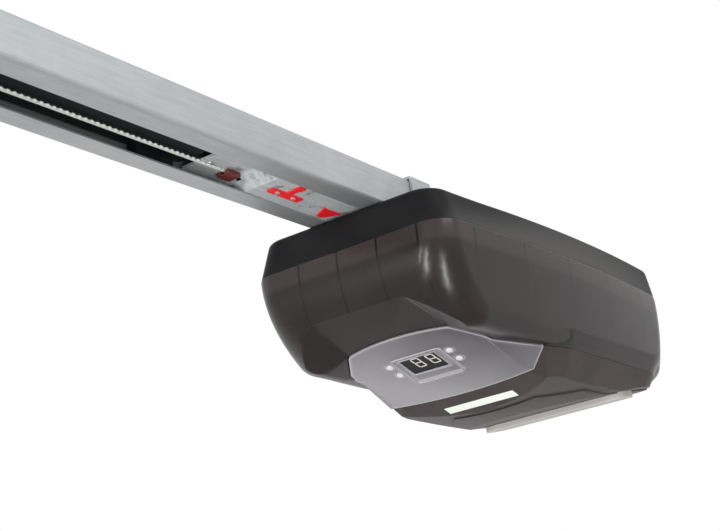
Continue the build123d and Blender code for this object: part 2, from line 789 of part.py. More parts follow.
CORE_PLACE = Location((TRANSFORMER_X, BACK - TRANSFORMER_SETBACK, -WALL - CORE_SIZE[2] / 2))
WINDOW_STEP = (COIL_SIZE[0] + CORE_LEG) / 4
with BuildPart() as transformer_core:
    with Locations(CORE_PLACE):
        Box(*CORE_SIZE)
        with GridLocations(2 * WINDOW_STEP, 0, 2, 1):
            Box(
                (COIL_SIZE[0] - CORE_LEG) / 2 + 2 * COIL_GAP,
                CORE_SIZE[1],
                COIL_SIZE[2] + 2 * COIL_GAP,
                mode=Mode.SUBTRACT,
            )
transformer_core.part.label = "transformer_core"

with BuildPart() as transformer_coil:
    with Locations(CORE_PLACE):
        Box(*COIL_SIZE)
        Box(CORE_LEG, CORE_SIZE[1] + 2 * COIL_GAP, COIL_SIZE[2], mode=Mode.SUBTRACT)
    fillet(transformer_coil.edges().filter_by(Axis.Z).group_by(SortBy.LENGTH)[-1], COIL_GAP)
transformer_coil.part.label = "transformer_coil"

with BuildPart() as led_board:
    with BuildSketch(TAIL_PLANE.offset(-LIGHT_RIM)):
        Rectangle(2 * (LIGHT_HALF_WIDTH - LED_BOARD_INSET), LIGHT_LENGTH - LED_BOARD_INSET)
    extrude(amount=-BOARD_SHEET)
led_board.part.label = "led_board"

with BuildPart() as led_chips:
    with BuildSketch(TAIL_PLANE.offset(-LIGHT_RIM)):
        with GridLocations(LED_PITCH, LED_PITCH, LED_COLUMNS, LED_ROWS):
            Rectangle(LED_SIZE, LED_SIZE)
    extrude(amount=LED_HEIGHT)
led_chips.part.label = "led_chips"

INLET_Y = BACK - TOP_TAIL_INSET * (1 + INLET_Z / WIDEST_DEPTH) + INLET_STANDOFF
INLET_PLANE = Plane(origin=(0, INLET_Y, INLET_Z), x_dir=(1, 0, 0), z_dir=(0, 1, 0))
with BuildPart() as cable_gland:
    with BuildSketch(INLET_PLANE):
        Circle(INLET_FLANGE)
    extrude(amount=INLET_SHEET)
    with BuildSketch(INLET_PLANE):
        Circle(INLET_RADIUS - INLET_ROOM)
    extrude(amount=-INLET_INWARD)
    with BuildSketch(INLET_PLANE):
        Circle(INLET_BORE)
    extrude(amount=INLET_SHEET + INLET_INWARD, both=True, mode=Mode.SUBTRACT)
cable_gland.part.label = "cable_gland"

# Gearbox, motor and drive
GEARBOX_CENTRE = ((GEARBOX_LEFT + GEARBOX_RIGHT) / 2, (GEARBOX_FRONT + GEARBOX_BACK) / 2)
GEARBOX_WIDTH = GEARBOX_RIGHT - GEARBOX_LEFT
BEARING_RADIUS = OUTPUT_RADIUS + BEARING_WALL
MOTOR_AXIS = Plane(origin=(WORM_X, GEARBOX_BACK, GEAR_Z), x_dir=(1, 0, 0), z_dir=(0, 1, 0))
FLOOR_TOP = GEARBOX_FLOOR + GEARBOX_WALL

with BuildPart() as gearbox_lid:
    with BuildSketch(Plane.XY.offset(GEARBOX_TOP)):
        with Locations(GEARBOX_CENTRE):
            RectangleRounded(GEARBOX_WIDTH, GEARBOX_LENGTH, GEARBOX_MARGIN)
        with Locations((0, DRIVE_Y)):
            Circle(BEARING_RADIUS, mode=Mode.SUBTRACT)
    extrude(amount=GEARBOX_LID)
gearbox_lid.part.label = "gearbox_lid"

with BuildPart() as gearbox_housing:
    with BuildSketch(Plane.XY.offset(GEARBOX_TOP)):
        with Locations(GEARBOX_CENTRE):
            RectangleRounded(GEARBOX_WIDTH, GEARBOX_LENGTH, GEARBOX_MARGIN)
    extrude(amount=-GEARBOX_DEPTH)
    with BuildSketch(Plane.XY.offset(GEARBOX_TOP)):
        with Locations(GEARBOX_CENTRE):
            RectangleRounded(
                GEARBOX_WIDTH - 2 * GEARBOX_WALL, GEARBOX_LENGTH - 2 * GEARBOX_WALL, GEAR_ROOM
            )
    extrude(amount=-GEARBOX_DEPTH + GEARBOX_WALL, mode=Mode.SUBTRACT)
    with BuildSketch(Plane.XY.offset(FLOOR_TOP)):
        with Locations((0, DRIVE_Y)):
            Circle(BEARING_RADIUS + GEARBOX_WALL)
            Circle(BEARING_RADIUS, mode=Mode.SUBTRACT)
    extrude(amount=BEARING_WIDTH)
    with BuildSketch(MOTOR_AXIS):
        Circle(WORM_SHAFT_RADIUS + RUNNING_FIT)
    extrude(amount=-GEARBOX_LENGTH, mode=Mode.SUBTRACT)
gearbox_housing.part.label = "gearbox_housing"

with BuildPart() as shaft_bearings:
    for level in (FLOOR_TOP, -WALL - BEARING_WIDTH):
        with BuildSketch(Plane.XY.offset(level)):
            with Locations((0, DRIVE_Y)):
                Circle(BEARING_RADIUS)
                Circle(OUTPUT_RADIUS + RUNNING_FIT, mode=Mode.SUBTRACT)
        extrude(amount=BEARING_WIDTH)
shaft_bearings.part.label = "shaft_bearings"

with BuildPart() as output_shaft:
    with BuildSketch(Plane.XY.offset(FLOOR_TOP)):
        with Locations((0, DRIVE_Y)):
            Circle(OUTPUT_RADIUS)
    extrude(amount=PULLEY_HIGH - FLOOR_TOP)
output_shaft.part.label = "output_shaft"

with BuildPart() as worm_wheel:
    with BuildSketch(Plane.XY.offset(GEAR_Z - WHEEL_WIDTH / 2)):
        with Locations((0, DRIVE_Y)):
            Circle(WHEEL_RADIUS - WHEEL_TOOTH)
            with PolarLocations(WHEEL_RADIUS - WHEEL_TOOTH / 2, WHEEL_TEETH):
                Rectangle(2 * WHEEL_TOOTH, TOOTH_WIDTH)
            Circle(WHEEL_RADIUS, mode=Mode.INTERSECT)
            Circle(OUTPUT_RADIUS, mode=Mode.SUBTRACT)
    extrude(amount=WHEEL_WIDTH)
worm_wheel.part.label = "worm_wheel"

with BuildPart() as worm_shaft:
    with BuildSketch(MOTOR_AXIS.offset(-GEARBOX_LENGTH)):
        Circle(WORM_SHAFT_RADIUS)
    extrude(amount=GEARBOX_LENGTH + MOTOR_CAP)
    thread_start = DRIVE_Y - GEARBOX_BACK - WORM_LENGTH / 2
    with BuildSketch(MOTOR_AXIS.offset(thread_start)):
        Circle(WORM_RADIUS)
    extrude(amount=WORM_LENGTH)
worm_shaft.part.label = "worm_shaft"

with BuildPart() as motor_can:
    with BuildSketch(MOTOR_AXIS):
        Circle(MOTOR_RADIUS)
        Rectangle(2 * MOTOR_RADIUS, 2 * MOTOR_FLAT, mode=Mode.INTERSECT)
    extrude(amount=MOTOR_LENGTH)
    with BuildSketch(MOTOR_AXIS):
        Circle(WORM_SHAFT_RADIUS + RUNNING_FIT)
    extrude(amount=MOTOR_CAP + MESH_GAP, mode=Mode.SUBTRACT)
motor_can.part.label = "motor_can"

with BuildPart() as motor_end_cap:
    with BuildSketch(MOTOR_AXIS.offset(MOTOR_LENGTH)):
        Circle(MOTOR_RADIUS)
        Rectangle(2 * MOTOR_RADIUS, 2 * MOTOR_FLAT, mode=Mode.INTERSECT)
    extrude(amount=MOTOR_CAP)
    chamfer(motor_end_cap.edges().group_by(Axis.Y)[-1], MOTOR_CHAMFER)
motor_end_cap.part.label = "motor_end_cap"


def flanged_pulley(centre_y, bore, teeth):
    """A belt pulley between two rims, toothed or plain."""
    with BuildPart() as pulley:
        with BuildSketch(Plane.XY.offset(PULLEY_LOW)):
            with Locations((0, centre_y)):
                Circle(PULLEY_TIP)
                if teeth:
                    with PolarLocations(PULLEY_TIP, teeth):
                        Circle(TOOTH_DEPTH, mode=Mode.SUBTRACT)
        extrude(amount=PULLEY_HIGH - PULLEY_LOW)
        for level in (PULLEY_LOW, PULLEY_HIGH - FLANGE_SHEET):
            with BuildSketch(Plane.XY.offset(level)):
                with Locations((0, centre_y)):
                    Circle(FLANGE_RADIUS)
            extrude(amount=FLANGE_SHEET)
        with Locations((0, centre_y)):
            Hole(bore)
    return pulley


drive_pulley = flanged_pulley(DRIVE_Y, OUTPUT_RADIUS, PULLEY_TEETH)
drive_pulley.part.label = "drive_pulley"

idler_pulley = flanged_pulley(IDLER_Y, AXLE_RADIUS + RUNNING_FIT, 0)
idler_pulley.part.label = "idler_pulley"

with BuildPart() as belt:
    with BuildSketch(Plane.XY.offset(BELT_Z)):
        with Locations((0, (DRIVE_Y + IDLER_Y) / 2)):
            SlotCenterToCenter(DRIVE_Y - IDLER_Y, 2 * STRAND_OUT, rotation=90)
            SlotCenterToCenter(DRIVE_Y - IDLER_Y, 2 * STRAND_IN, rotation=90, mode=Mode.SUBTRACT)
    extrude(amount=BELT_WIDTH)
belt.part.label = "belt"

# Rail and its saddle on the head
RAIL_END = Plane.XZ.offset(-RAIL_BACK)
with BuildPart() as rail:
    with BuildSketch(RAIL_END):
        with Locations((0, RAIL_HEIGHT / 2)):
            RectangleRounded(RAIL_WIDTH, RAIL_HEIGHT, RAIL_BEND)
            RectangleRounded(
                RAIL_WIDTH - 2 * RAIL_SHEET,
                RAIL_HEIGHT - 2 * RAIL_SHEET,
                RAIL_BEND - RAIL_SHEET,
                mode=Mode.SUBTRACT,
            )
        Rectangle(RAIL_SLOT, 4 * RAIL_SHEET, mode=Mode.SUBTRACT)
    extrude(amount=RAIL_LENGTH)
rail.part.label = "rail"

SADDLE_TOP = RAIL_HEIGHT + SADDLE_GAP + SADDLE_SHEET
SADDLE_OUTER = SADDLE_INNER + SADDLE_SHEET
with BuildPart() as rail_saddle:
    with BuildSketch(Plane.XZ.offset(-SADDLE_Y)):
        with Locations((0, SADDLE_SHEET / 2)):
            Rectangle(2 * (SADDLE_OUTER + SADDLE_FOOT), SADDLE_SHEET)
        with Locations((0, SADDLE_TOP / 2)):
            Rectangle(2 * SADDLE_OUTER, SADDLE_TOP)
        with Locations((0, (SADDLE_TOP - SADDLE_SHEET) / 2)):
            Rectangle(2 * SADDLE_INNER, SADDLE_TOP - SADDLE_SHEET, mode=Mode.SUBTRACT)
    extrude(amount=SADDLE_LENGTH / 2, both=True)
    bends = rail_saddle.edges().filter_by(Axis.Y).group_by(Axis.Z)[-1]
    fillet(bends, SADDLE_SHEET)
    with Locations(*SADDLE_SCREW_PLACES):
        Hole(SCREW_RADIUS)
rail_saddle.part.label = "rail_saddle"

with BuildPart() as saddle_screws:
    with Locations(*[(x, y, SADDLE_SHEET) for x, y in SADDLE_SCREW_PLACES]):
        Cylinder(SCREW_HEAD, SCREW_HEAD_HEIGHT, align=(Align.CENTER, Align.CENTER, Align.MIN))
        Cylinder(SCREW_RADIUS, SCREW_LENGTH, align=HANGING)
saddle_screws.part.label = "saddle_screws"

# Drive station plate
LIP_TOP = RAIL_SHEET
TONGUE_END = TOP_FRONT - STATION_REACH
TONGUE_BACK = TONGUE_END + STATION_TONGUE
RAMP_BACK = TONGUE_BACK + STATION_RAMP
STATION_BACK = RAIL_BACK - END_GAP
CATCH_Y = TOP_FRONT - CATCH_SETBACK
HOOK_Y = TOP_FRONT - HOOK_SETBACK
RIVET_PLACES = [(CATCH_X, CATCH_Y + side * RIVET_PITCH / 2) for side in (-1, 1)]
STRAND_MIDDLE = (STRAND_IN + STRAND_OUT) / 2
CHANNEL = BELT_THICKNESS + 2 * CHANNEL_GAP

with BuildPart() as station_plate:
    with BuildSketch(Plane.YZ):
        with BuildLine():
            Polyline(
                (TONGUE_END, TONGUE_Z),
                (TONGUE_BACK, TONGUE_Z),
                (RAMP_BACK, LIP_TOP),
                (STATION_BACK, LIP_TOP),
                (STATION_BACK, LIP_TOP + STATION_SHEET),
                (RAMP_BACK, LIP_TOP + STATION_SHEET),
                (TONGUE_BACK, TONGUE_Z + STATION_SHEET),
                (TONGUE_END, TONGUE_Z + STATION_SHEET),
                close=True,
            )
        make_face()
    extrude(amount=STATION_HALF_WIDTH, both=True)
    with Locations((0, (TONGUE_END + RAMP_BACK) / 2, TONGUE_Z)):
        with GridLocations(2 * STRAND_MIDDLE, 0, 2, 1):
            Box(CHANNEL, RAMP_BACK - TONGUE_END, 4 * STATION_SHEET, mode=Mode.SUBTRACT)
    with Locations((0, DRIVE_Y)):
        Hole(OUTPUT_RADIUS + BEARING_WALL)
    with Locations(*RIVET_PLACES):
        Hole(RIVET_RADIUS)
station_plate.part.label = "station_plate"

with BuildPart() as red_catch:
    with BuildSketch(Plane.XY.offset(LIP_TOP)):
        with Locations((CATCH_X, CATCH_Y)):
            RectangleRounded(CATCH_WIDTH, CATCH_LENGTH, CATCH_SHEET)
        with Locations((CATCH_X + CATCH_STEM / 2, CATCH_Y)):
            RectangleRounded(CATCH_STEM, CATCH_NECK, CATCH_SHEET)
        with Locations((CATCH_X + CATCH_STEM, CATCH_Y)):
            RectangleRounded(CATCH_NECK, CATCH_TIP, CATCH_SHEET)
        with Locations(*RIVET_PLACES):
            Circle(RIVET_RADIUS, mode=Mode.SUBTRACT)
    extrude(amount=-CATCH_SHEET)
red_catch.part.label = "red_catch"

with BuildPart() as catch_rivets:
    with BuildSketch(Plane.XY.offset(LIP_TOP - CATCH_SHEET)):
        with Locations(*RIVET_PLACES):
            Circle(RIVET_RADIUS)
    extrude(amount=CATCH_SHEET + STATION_SHEET)
    with BuildSketch(Plane.XY.offset(LIP_TOP - CATCH_SHEET)):
        with Locations(*RIVET_PLACES):
            Circle(RIVET_HEAD)
    extrude(amount=-CATCH_SHEET / 2)
catch_rivets.part.label = "catch_rivets"

with BuildPart() as red_hook:
    with BuildSketch(Plane.XY.offset(LIP_TOP)):
        with Locations((HOOK_X, HOOK_Y)):
            Trapezoid(HOOK_LENGTH, HOOK_WIDTH, HOOK_ANGLE, rotation=90)
    extrude(amount=-CATCH_SHEET)
red_hook.part.label = "red_hook"

with BuildPart() as belt_guide:
    with Locations((-STRAND_MIDDLE, TONGUE_BACK - GUIDE_LENGTH / 2, TONGUE_Z)):
        Box(CHANNEL + 2 * GUIDE_SIDE, GUIDE_LENGTH, GUIDE_HEIGHT, align=HANGING)
        Box(CHANNEL, GUIDE_LENGTH, 2 * CHANNEL_GAP, align=HANGING, mode=Mode.SUBTRACT)
belt_guide.part.label = "belt_guide"

# Door end: idler yoke, tension screw, end block and wall bracket
YOKE_FRONT = IDLER_Y - FLANGE_RADIUS - YOKE_GAP
with BuildPart() as idler_yoke:
    with BuildSketch(Plane.YZ):
        with BuildLine():
            low = PULLEY_LOW - YOKE_GAP
            high = PULLEY_HIGH + YOKE_GAP
            Polyline(
                (IDLER_Y + YOKE_HALF_WIDTH, low),
                (YOKE_FRONT, low),
                (YOKE_FRONT, high),
                (IDLER_Y + YOKE_HALF_WIDTH, high),
                (IDLER_Y + YOKE_HALF_WIDTH, high + YOKE_SHEET),
                (YOKE_FRONT - YOKE_SHEET, high + YOKE_SHEET),
                (YOKE_FRONT - YOKE_SHEET, low - YOKE_SHEET),
                (IDLER_Y + YOKE_HALF_WIDTH, low - YOKE_SHEET),
                close=True,
            )
        make_face()
    extrude(amount=YOKE_HALF_WIDTH, both=True)
    with Locations((0, IDLER_Y)):
        Hole(AXLE_RADIUS)
    with Locations((0, YOKE_FRONT, TENSION_Z)):
        Cylinder(TENSION_RADIUS, 4 * YOKE_SHEET, rotation=(90, 0, 0), mode=Mode.SUBTRACT)
idler_yoke.part.label = "idler_yoke"

with BuildPart() as idler_axle:
    with Locations((0, IDLER_Y, PULLEY_LOW - YOKE_GAP - YOKE_SHEET)):
        Cylinder(
            AXLE_RADIUS,
            PULLEY_HIGH - PULLEY_LOW + 2 * (YOKE_GAP + YOKE_SHEET),
            align=(Align.CENTER, Align.CENTER, Align.MIN),
        )
idler_axle.part.label = "idler_axle"

TENSION_PLANE = Plane(origin=(0, YOKE_FRONT, TENSION_Z), x_dir=(1, 0, 0), z_dir=(0, -1, 0))
with BuildPart() as tension_screw:
    with BuildSketch(TENSION_PLANE):
        Circle(TENSION_RADIUS)
    extrude(amount=TENSION_LENGTH)
tension_screw.part.label = "tension_screw"

END_FACE = RAIL_FRONT - END_PLATE
with BuildPart() as tension_nut:
    with BuildSketch(Plane(origin=(0, END_FACE, TENSION_Z), x_dir=(1, 0, 0), z_dir=(0, -1, 0))):
        RegularPolygon(TENSION_NUT, 6)
        Circle(TENSION_RADIUS, mode=Mode.SUBTRACT)
    extrude(amount=TENSION_NUT)
tension_nut.part.label = "tension_nut"

with BuildPart() as end_block:
    with BuildSketch(Plane.XZ.offset(-RAIL_FRONT)):
        with Locations((0, RAIL_HEIGHT / 2)):
            RectangleRounded(RAIL_WIDTH, RAIL_HEIGHT, RAIL_BEND)
    extrude(amount=END_PLATE)
    with BuildSketch(Plane.XZ.offset(-RAIL_FRONT)):
        with Locations((0, RAIL_HEIGHT / 2)):
            RectangleRounded(
                RAIL_WIDTH - 2 * RAIL_SHEET - 2 * END_GAP,
                RAIL_HEIGHT - 2 * RAIL_SHEET - 2 * END_GAP,
                RAIL_BEND - RAIL_SHEET,
            )
    extrude(amount=-END_PLUG)
    with Locations((0, END_FACE - EAR_REACH / 2, TENSION_Z)):
        with GridLocations(2 * EAR_X, 0, 2, 1):
            Box(EAR_SHEET, EAR_REACH, EAR_HEIGHT)
    ear_ends = end_block.edges().filter_by(Axis.X).group_by(Axis.Y)[0]
    fillet(ear_ends, EAR_RADIUS)
    with Locations((0, END_FACE - EAR_REACH + EAR_HEIGHT / 2, TENSION_Z)):
        Cylinder(PIN_RADIUS, RAIL_WIDTH, rotation=(0, 90, 0), mode=Mode.SUBTRACT)
    with Locations((0, RAIL_FRONT, TENSION_Z)):
        Cylinder(TENSION_RADIUS, 4 * END_PLUG, rotation=(90, 0, 0), mode=Mode.SUBTRACT)
end_block.part.label = "end_block"

PIN_Y = END_FACE - EAR_REACH + EAR_HEIGHT / 2
BRACKET_Y = PIN_Y - BRACKET_DEPTH
BRACKET_EAR_X = EAR_X + EAR_SHEET / 2 + BRACKET_SHEET / 2
with BuildPart() as wall_bracket:
    with BuildSketch(Plane.XZ.offset(-BRACKET_Y)):
        with Locations((0, TENSION_Z)):
            RectangleRounded(BRACKET_WIDTH, BRACKET_HEIGHT, WALL_HOLE)
            with GridLocations(WALL_HOLE_SPACING, 0, 2, 1):
                Circle(WALL_HOLE, mode=Mode.SUBTRACT)
    extrude(amount=BRACKET_SHEET)
    with Locations((0, BRACKET_Y + (BRACKET_DEPTH + EAR_HEIGHT / 2) / 2, TENSION_Z)):
        with GridLocations(2 * BRACKET_EAR_X, 0, 2, 1):
            Box(BRACKET_SHEET, BRACKET_DEPTH + EAR_HEIGHT / 2, EAR_HEIGHT)
    with Locations((0, PIN_Y, TENSION_Z)):
        Cylinder(PIN_RADIUS, RAIL_WIDTH, rotation=(0, 90, 0), mode=Mode.SUBTRACT)
wall_bracket.part.label = "wall_bracket"

with BuildPart() as bracket_pin:
    with Locations((0, PIN_Y, TENSION_Z)):
        Cylinder(PIN_RADIUS, 2 * BRACKET_EAR_X + 2 * BRACKET_SHEET, rotation=(0, 90, 0))
bracket_pin.part.label = "bracket_pin"

# Carriage in the rail
with BuildPart() as carriage_body:
    with Locations((0, CARRIAGE_FRONT + CARRIAGE_LENGTH / 2, (CARRIAGE_Z + CARRIAGE_TOP) / 2)):
        Box(2 * CARRIAGE_HALF_WIDTH, CARRIAGE_LENGTH, CARRIAGE_TOP - CARRIAGE_Z)
    fillet(carriage_body.edges().filter_by(Axis.Z), RAIL_BEND)
    with Locations((0, CARRIAGE_FRONT + CARRIAGE_LENGTH / 2, BELT_Z)):
        with GridLocations(2 * STRAND_MIDDLE, 0, 2, 1):
            Box(
                CHANNEL,
                CARRIAGE_LENGTH,
                BELT_WIDTH + CHANNEL_GAP,
                align=(Align.CENTER, Align.CENTER, Align.MIN),
                mode=Mode.SUBTRACT,
            )
    with Locations((0, STEM_Y, CARRIAGE_Z)):
        Box(2 * STEM_HALF_WIDTH, STEM_LENGTH, CARRIAGE_Z - LUG_TOP, align=HANGING)
    with Locations((0, LEVER_Y, CARRIAGE_Z)):
        with GridLocations(2 * LEVER_HALF_WIDTH + 2 * LEVER_GAP + LEVER_EAR, 0, 2, 1):
            Box(LEVER_EAR, 2 * LEVER_HUB, CARRIAGE_Z - LEVER_Z + LEVER_HUB, align=HANGING)
    with Locations((0, LEVER_Y, LEVER_Z)):
        Cylinder(LEVER_PIN, RAIL_WIDTH, rotation=(0, 90, 0), mode=Mode.SUBTRACT)
carriage_body.part.label = "carriage_body"

SHOE_Z = LIP_TOP + SLIDE_GAP
SHOE_X = RAIL_HALF - RAIL_SHEET - SHOE_SIDE_GAP - SHOE_WIDTH / 2
with BuildPart() as slide_shoes:
    with Locations((0, CARRIAGE_FRONT + CARRIAGE_LENGTH / 2, SHOE_Z)):
        with GridLocations(2 * SHOE_X, CARRIAGE_LENGTH - SHOE_LENGTH - 2 * SHOE_INSET, 2, 2):
            Box(
                SHOE_WIDTH,
                SHOE_LENGTH,
                CARRIAGE_Z - SHOE_Z,
                align=(Align.CENTER, Align.CENTER, Align.MIN),
            )
    fillet(slide_shoes.edges().filter_by(Axis.Z), RAIL_BEND)
slide_shoes.part.label = "slide_shoes"

CLAMP_DROP = CARRIAGE_Z - BELT_Z + CHANNEL_GAP
with BuildPart() as belt_clamp:
    with Locations((STRAND_MIDDLE, CARRIAGE_FRONT + CLAMP_INSET, CARRIAGE_Z)):
        Box(CHANNEL + 2 * GUIDE_SIDE, CLAMP_LENGTH, CLAMP_DROP + CLAMP_SHEET, align=HANGING)
        Box(CHANNEL, CLAMP_LENGTH, CLAMP_DROP, align=HANGING, mode=Mode.SUBTRACT)
belt_clamp.part.label = "belt_clamp"

with BuildPart() as arm_lugs:
    with Locations((0, STEM_Y, CARRIAGE_Z)):
        with GridLocations(2 * STEM_HALF_WIDTH + LUG_SHEET, 0, 2, 1):
            Box(LUG_SHEET, STEM_LENGTH, CARRIAGE_Z + LUG_DROP, align=HANGING)
    fillet(arm_lugs.edges().filter_by(Axis.X).group_by(Axis.Z)[0], LUG_RADIUS)
    with Locations((0, STEM_Y, ARM_BORE_Z)):
        Cylinder(ARM_BORE, RAIL_WIDTH, rotation=(0, 90, 0), mode=Mode.SUBTRACT)
arm_lugs.part.label = "arm_lugs"

with BuildPart() as release_lever:
    with Locations((0, LEVER_Y, LEVER_Z)):
        Cylinder(LEVER_HUB, 2 * LEVER_HALF_WIDTH, rotation=(0, 90, 0))
    with Locations((0, LEVER_Y - LEVER_LENGTH / 2, LEVER_Z)):
        Box(2 * LEVER_HALF_WIDTH, LEVER_LENGTH, LEVER_BAR)
    fillet(release_lever.edges().filter_by(Axis.Z).group_by(Axis.Y)[0], LEVER_RADIUS)
    with Locations((0, LEVER_Y - LEVER_LENGTH + LEVER_HALF_WIDTH, LEVER_Z)):
        Hole(CORD_HOLE)
    with Locations((0, LEVER_Y, LEVER_Z)):
        Cylinder(LEVER_PIN + RUNNING_FIT, RAIL_WIDTH, rotation=(0, 90, 0), mode=Mode.SUBTRACT)
release_lever.part.label = "release_lever"

with BuildPart() as lever_pin:
    with Locations((0, LEVER_Y, LEVER_Z)):
        Cylinder(LEVER_PIN, 2 * (LEVER_HALF_WIDTH + LEVER_GAP + LEVER_EAR), rotation=(0, 90, 0))
lever_pin.part.label = "lever_pin"

pieces = (
    base_housing, smoked_cover, belly_cover, control_lens, light_lens, control_board, display_module,
    button_switches, *buttons, main_board, relays, capacitors, terminal_block, transformer_core,
    transformer_coil, led_board, led_chips, cable_gland, gearbox_lid, gearbox_housing, shaft_bearings,
    output_shaft, worm_wheel, worm_shaft, motor_can, motor_end_cap, drive_pulley, idler_pulley, belt,
    rail, rail_saddle, saddle_screws, station_plate, red_catch, catch_rivets, red_hook, belt_guide,
    idler_yoke, idler_axle, tension_screw, tension_nut, end_block, wall_bracket, bracket_pin,
    carriage_body, slide_shoes, belt_clamp, arm_lugs, release_lever, lever_pin,
)
for piece in pieces:
    export_step(piece.part, f"parts/{piece.part.label}.step")
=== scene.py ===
"""Looks of a ceiling garage door opener: finishes, smooth shells, belt teeth, screws, digits and label."""

import json
import math

import bmesh
import bpy
from mathutils import Matrix, Quaternion, Vector
from mathutils.bvhtree import BVHTree


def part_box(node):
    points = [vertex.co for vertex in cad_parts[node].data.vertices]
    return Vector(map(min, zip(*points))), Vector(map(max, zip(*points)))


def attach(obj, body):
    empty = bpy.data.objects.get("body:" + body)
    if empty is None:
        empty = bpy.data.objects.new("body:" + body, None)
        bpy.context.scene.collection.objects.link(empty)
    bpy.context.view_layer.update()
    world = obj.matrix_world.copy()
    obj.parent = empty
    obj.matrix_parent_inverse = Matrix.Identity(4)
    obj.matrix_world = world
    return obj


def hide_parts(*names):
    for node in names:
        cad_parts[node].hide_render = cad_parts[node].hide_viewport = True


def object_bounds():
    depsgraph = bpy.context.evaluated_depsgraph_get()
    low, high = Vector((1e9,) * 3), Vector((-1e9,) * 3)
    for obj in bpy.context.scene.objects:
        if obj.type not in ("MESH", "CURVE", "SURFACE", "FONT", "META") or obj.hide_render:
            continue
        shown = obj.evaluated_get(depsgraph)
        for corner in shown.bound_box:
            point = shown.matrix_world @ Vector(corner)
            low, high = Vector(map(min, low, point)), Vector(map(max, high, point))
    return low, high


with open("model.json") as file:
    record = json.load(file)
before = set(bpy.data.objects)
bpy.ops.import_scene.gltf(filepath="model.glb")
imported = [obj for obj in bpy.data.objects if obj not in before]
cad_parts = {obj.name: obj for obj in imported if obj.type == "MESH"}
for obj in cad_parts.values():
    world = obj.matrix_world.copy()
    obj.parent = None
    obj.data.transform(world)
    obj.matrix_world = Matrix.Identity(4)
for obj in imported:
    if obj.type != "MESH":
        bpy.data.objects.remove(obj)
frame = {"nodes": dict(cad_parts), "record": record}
cad_low, cad_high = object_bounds()
nodes = frame["nodes"]
MM = 0.001

# Camera that took the picture: low, in front of the head's right cheek, rolled a little
CAMERA_PLACE = Vector((0.5567, -1.0060, -0.3692))
CAMERA_AIM = Vector((-0.5228, 0.7926, 0.3139))
CAMERA_ROLL = math.radians(-7.47)
CAMERA_LENS = 75.09
SENSOR_WIDTH = 36.0

# Studio: pale paper far below the head, which melts into white between two distances from the head
FLOOR_Z = -2.3
FLOOR_RADIUS = 9.0
PAPER_REACH = 1.8
WHITE_REACH = 5.5
PAPER = "#f2f1ee"
WHITE = "#ffffff"
WORLD_FILL = 0.42

# Shells and lenses: corners up to this angle shade as one smooth skin
SMOOTH_ANGLE = math.radians(24)
MERGE_GAP = 0.001 * MM

# Edge mask: radius in millimetres, and the cosine of the turn at which it starts and is full. It marks
# worn edges on moulded plastic, and painted light on the edges of clear and smoked plastic
MOULDED_EDGE_MM = 0.8
CLEAR_EDGE_MM = 0.9
SMOKED_EDGE_MM = 1.2
EDGE_START = 0.98
EDGE_FULL = 0.8
BEVEL_SAMPLES = 6

# Patterns of the finishes: the real width of one feature in millimetres
CLOUD_MM = 45
WEATHER_MM = 60
SPANGLE_MM = 9
GREASE_MM = 13
FLOW_MM = 38
INSIDE_MM = 34
BELT_DUST_MM = 6

# Etched frost, polish marks and belt weave are finer than a pixel, so they are drawn coarse enough to show
FROST_MM = 0.7
POLISH_MM = 0.8
WEAVE_MM = 0.4
GRAIN_HEIGHT = 0.1 * MM

# Moulded plastic: how much its clouds polish or dull it, how much worn edges add to them, and the painted
# light that pales both flanks of the base
POLISHED = 0.05
DULLED = 0.07
EDGE_WEAR = 0.6
FLANK_LIGHT_X = 90 * MM
FLANK_LIGHT_WIDTH = 12 * MM

# Galvanised sheet: spread of its roughness, streaks drawn out along the rail, the shares of spangle and
# weather, and the level of noise at which old grease starts and is full
ZINC_SPREAD = 0.08
STREAK_SQUEEZE = (1.0, 0.03, 1.0)
SPANGLE_SHARE = 0.14
WEATHER_SHARE = 0.4
GREASE_START = 0.56
GREASE_FULL = 0.66
GREASE_SHADE = "#55585a"

# Clear plastic: how strongly the painted light in its wide rims glows, how much its flow lines show, and
# how much the painted light pales the control lens per metre from its middle
POLYCARBONATE_IOR = 1.585
CLEAR_SPREAD = 0.04
RIM_GLOW = 0.55
FLOW_LOW = 0.44
FLOW_HIGH = 0.56
EVEN = (0.0, 0.0, 0.0)
LENS_LIGHT_LEAN = (-3.4, 2.8, 0.0)
LENS_MIDDLE = (0.0, -95 * MM, 0.0)

# Smoked cover: its least and most roughness, the lap behind its upper edge, its seam, and the ribs that
# show through its nose and flanks
SMOKED_SHINE = 0.22
SMOKED_HAZE = 0.3
LAP_Z = -40 * MM
LAP_BLUR = 3 * MM
SEAM_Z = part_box("smoked_cover")[1][2]
SEAM_DEPTH = 1.5 * MM
SEAM_BLUR = 0.6 * MM
NOSE_END_Y = -172 * MM
NOSE_BLUR = 8 * MM
FRONT_RIB_X = -6 * MM
FRONT_RIB_PITCH = 34 * MM
FLANK_RIB_Y = -14 * MM
FLANK_RIB_PITCH = 65 * MM
RIB_HALF = 1.2 * MM
RIB_CORE = 0.4 * MM
RIB_FOOT_Z = -78 * MM
RIB_FADE = 10 * MM
RIB_SHADE = "#050404"

# Belt: the pale cut edge under it, and the teeth on the inner face of both straight strands
BELT_LOW_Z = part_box("belt")[0][2]
BELT_CUT_EDGE = 1.4 * MM
BELT_CUT_FULL = 0.84 * MM
BELT_THICKNESS = 1.8 * MM
TOOTH_PITCH = 5 * MM
TOOTH_ROOT = 2.6 * MM
TOOTH_TIP = 1.7 * MM
TOOTH_DEPTH = 0.9 * MM
TOOTH_MARGIN = 16 * MM

# Hex flange screws of the rail saddle
SCREW_FLANGE_RADIUS = 4.2 * MM
SCREW_FLANGE_HEIGHT = 0.9 * MM
SCREW_HEX_RADIUS = 3.1 * MM
SCREW_HEX_HEIGHT = 1.3 * MM
SCREW_CHAMFER = 0.4 * MM
SCREW_SHANK_RADIUS = 1.9 * MM

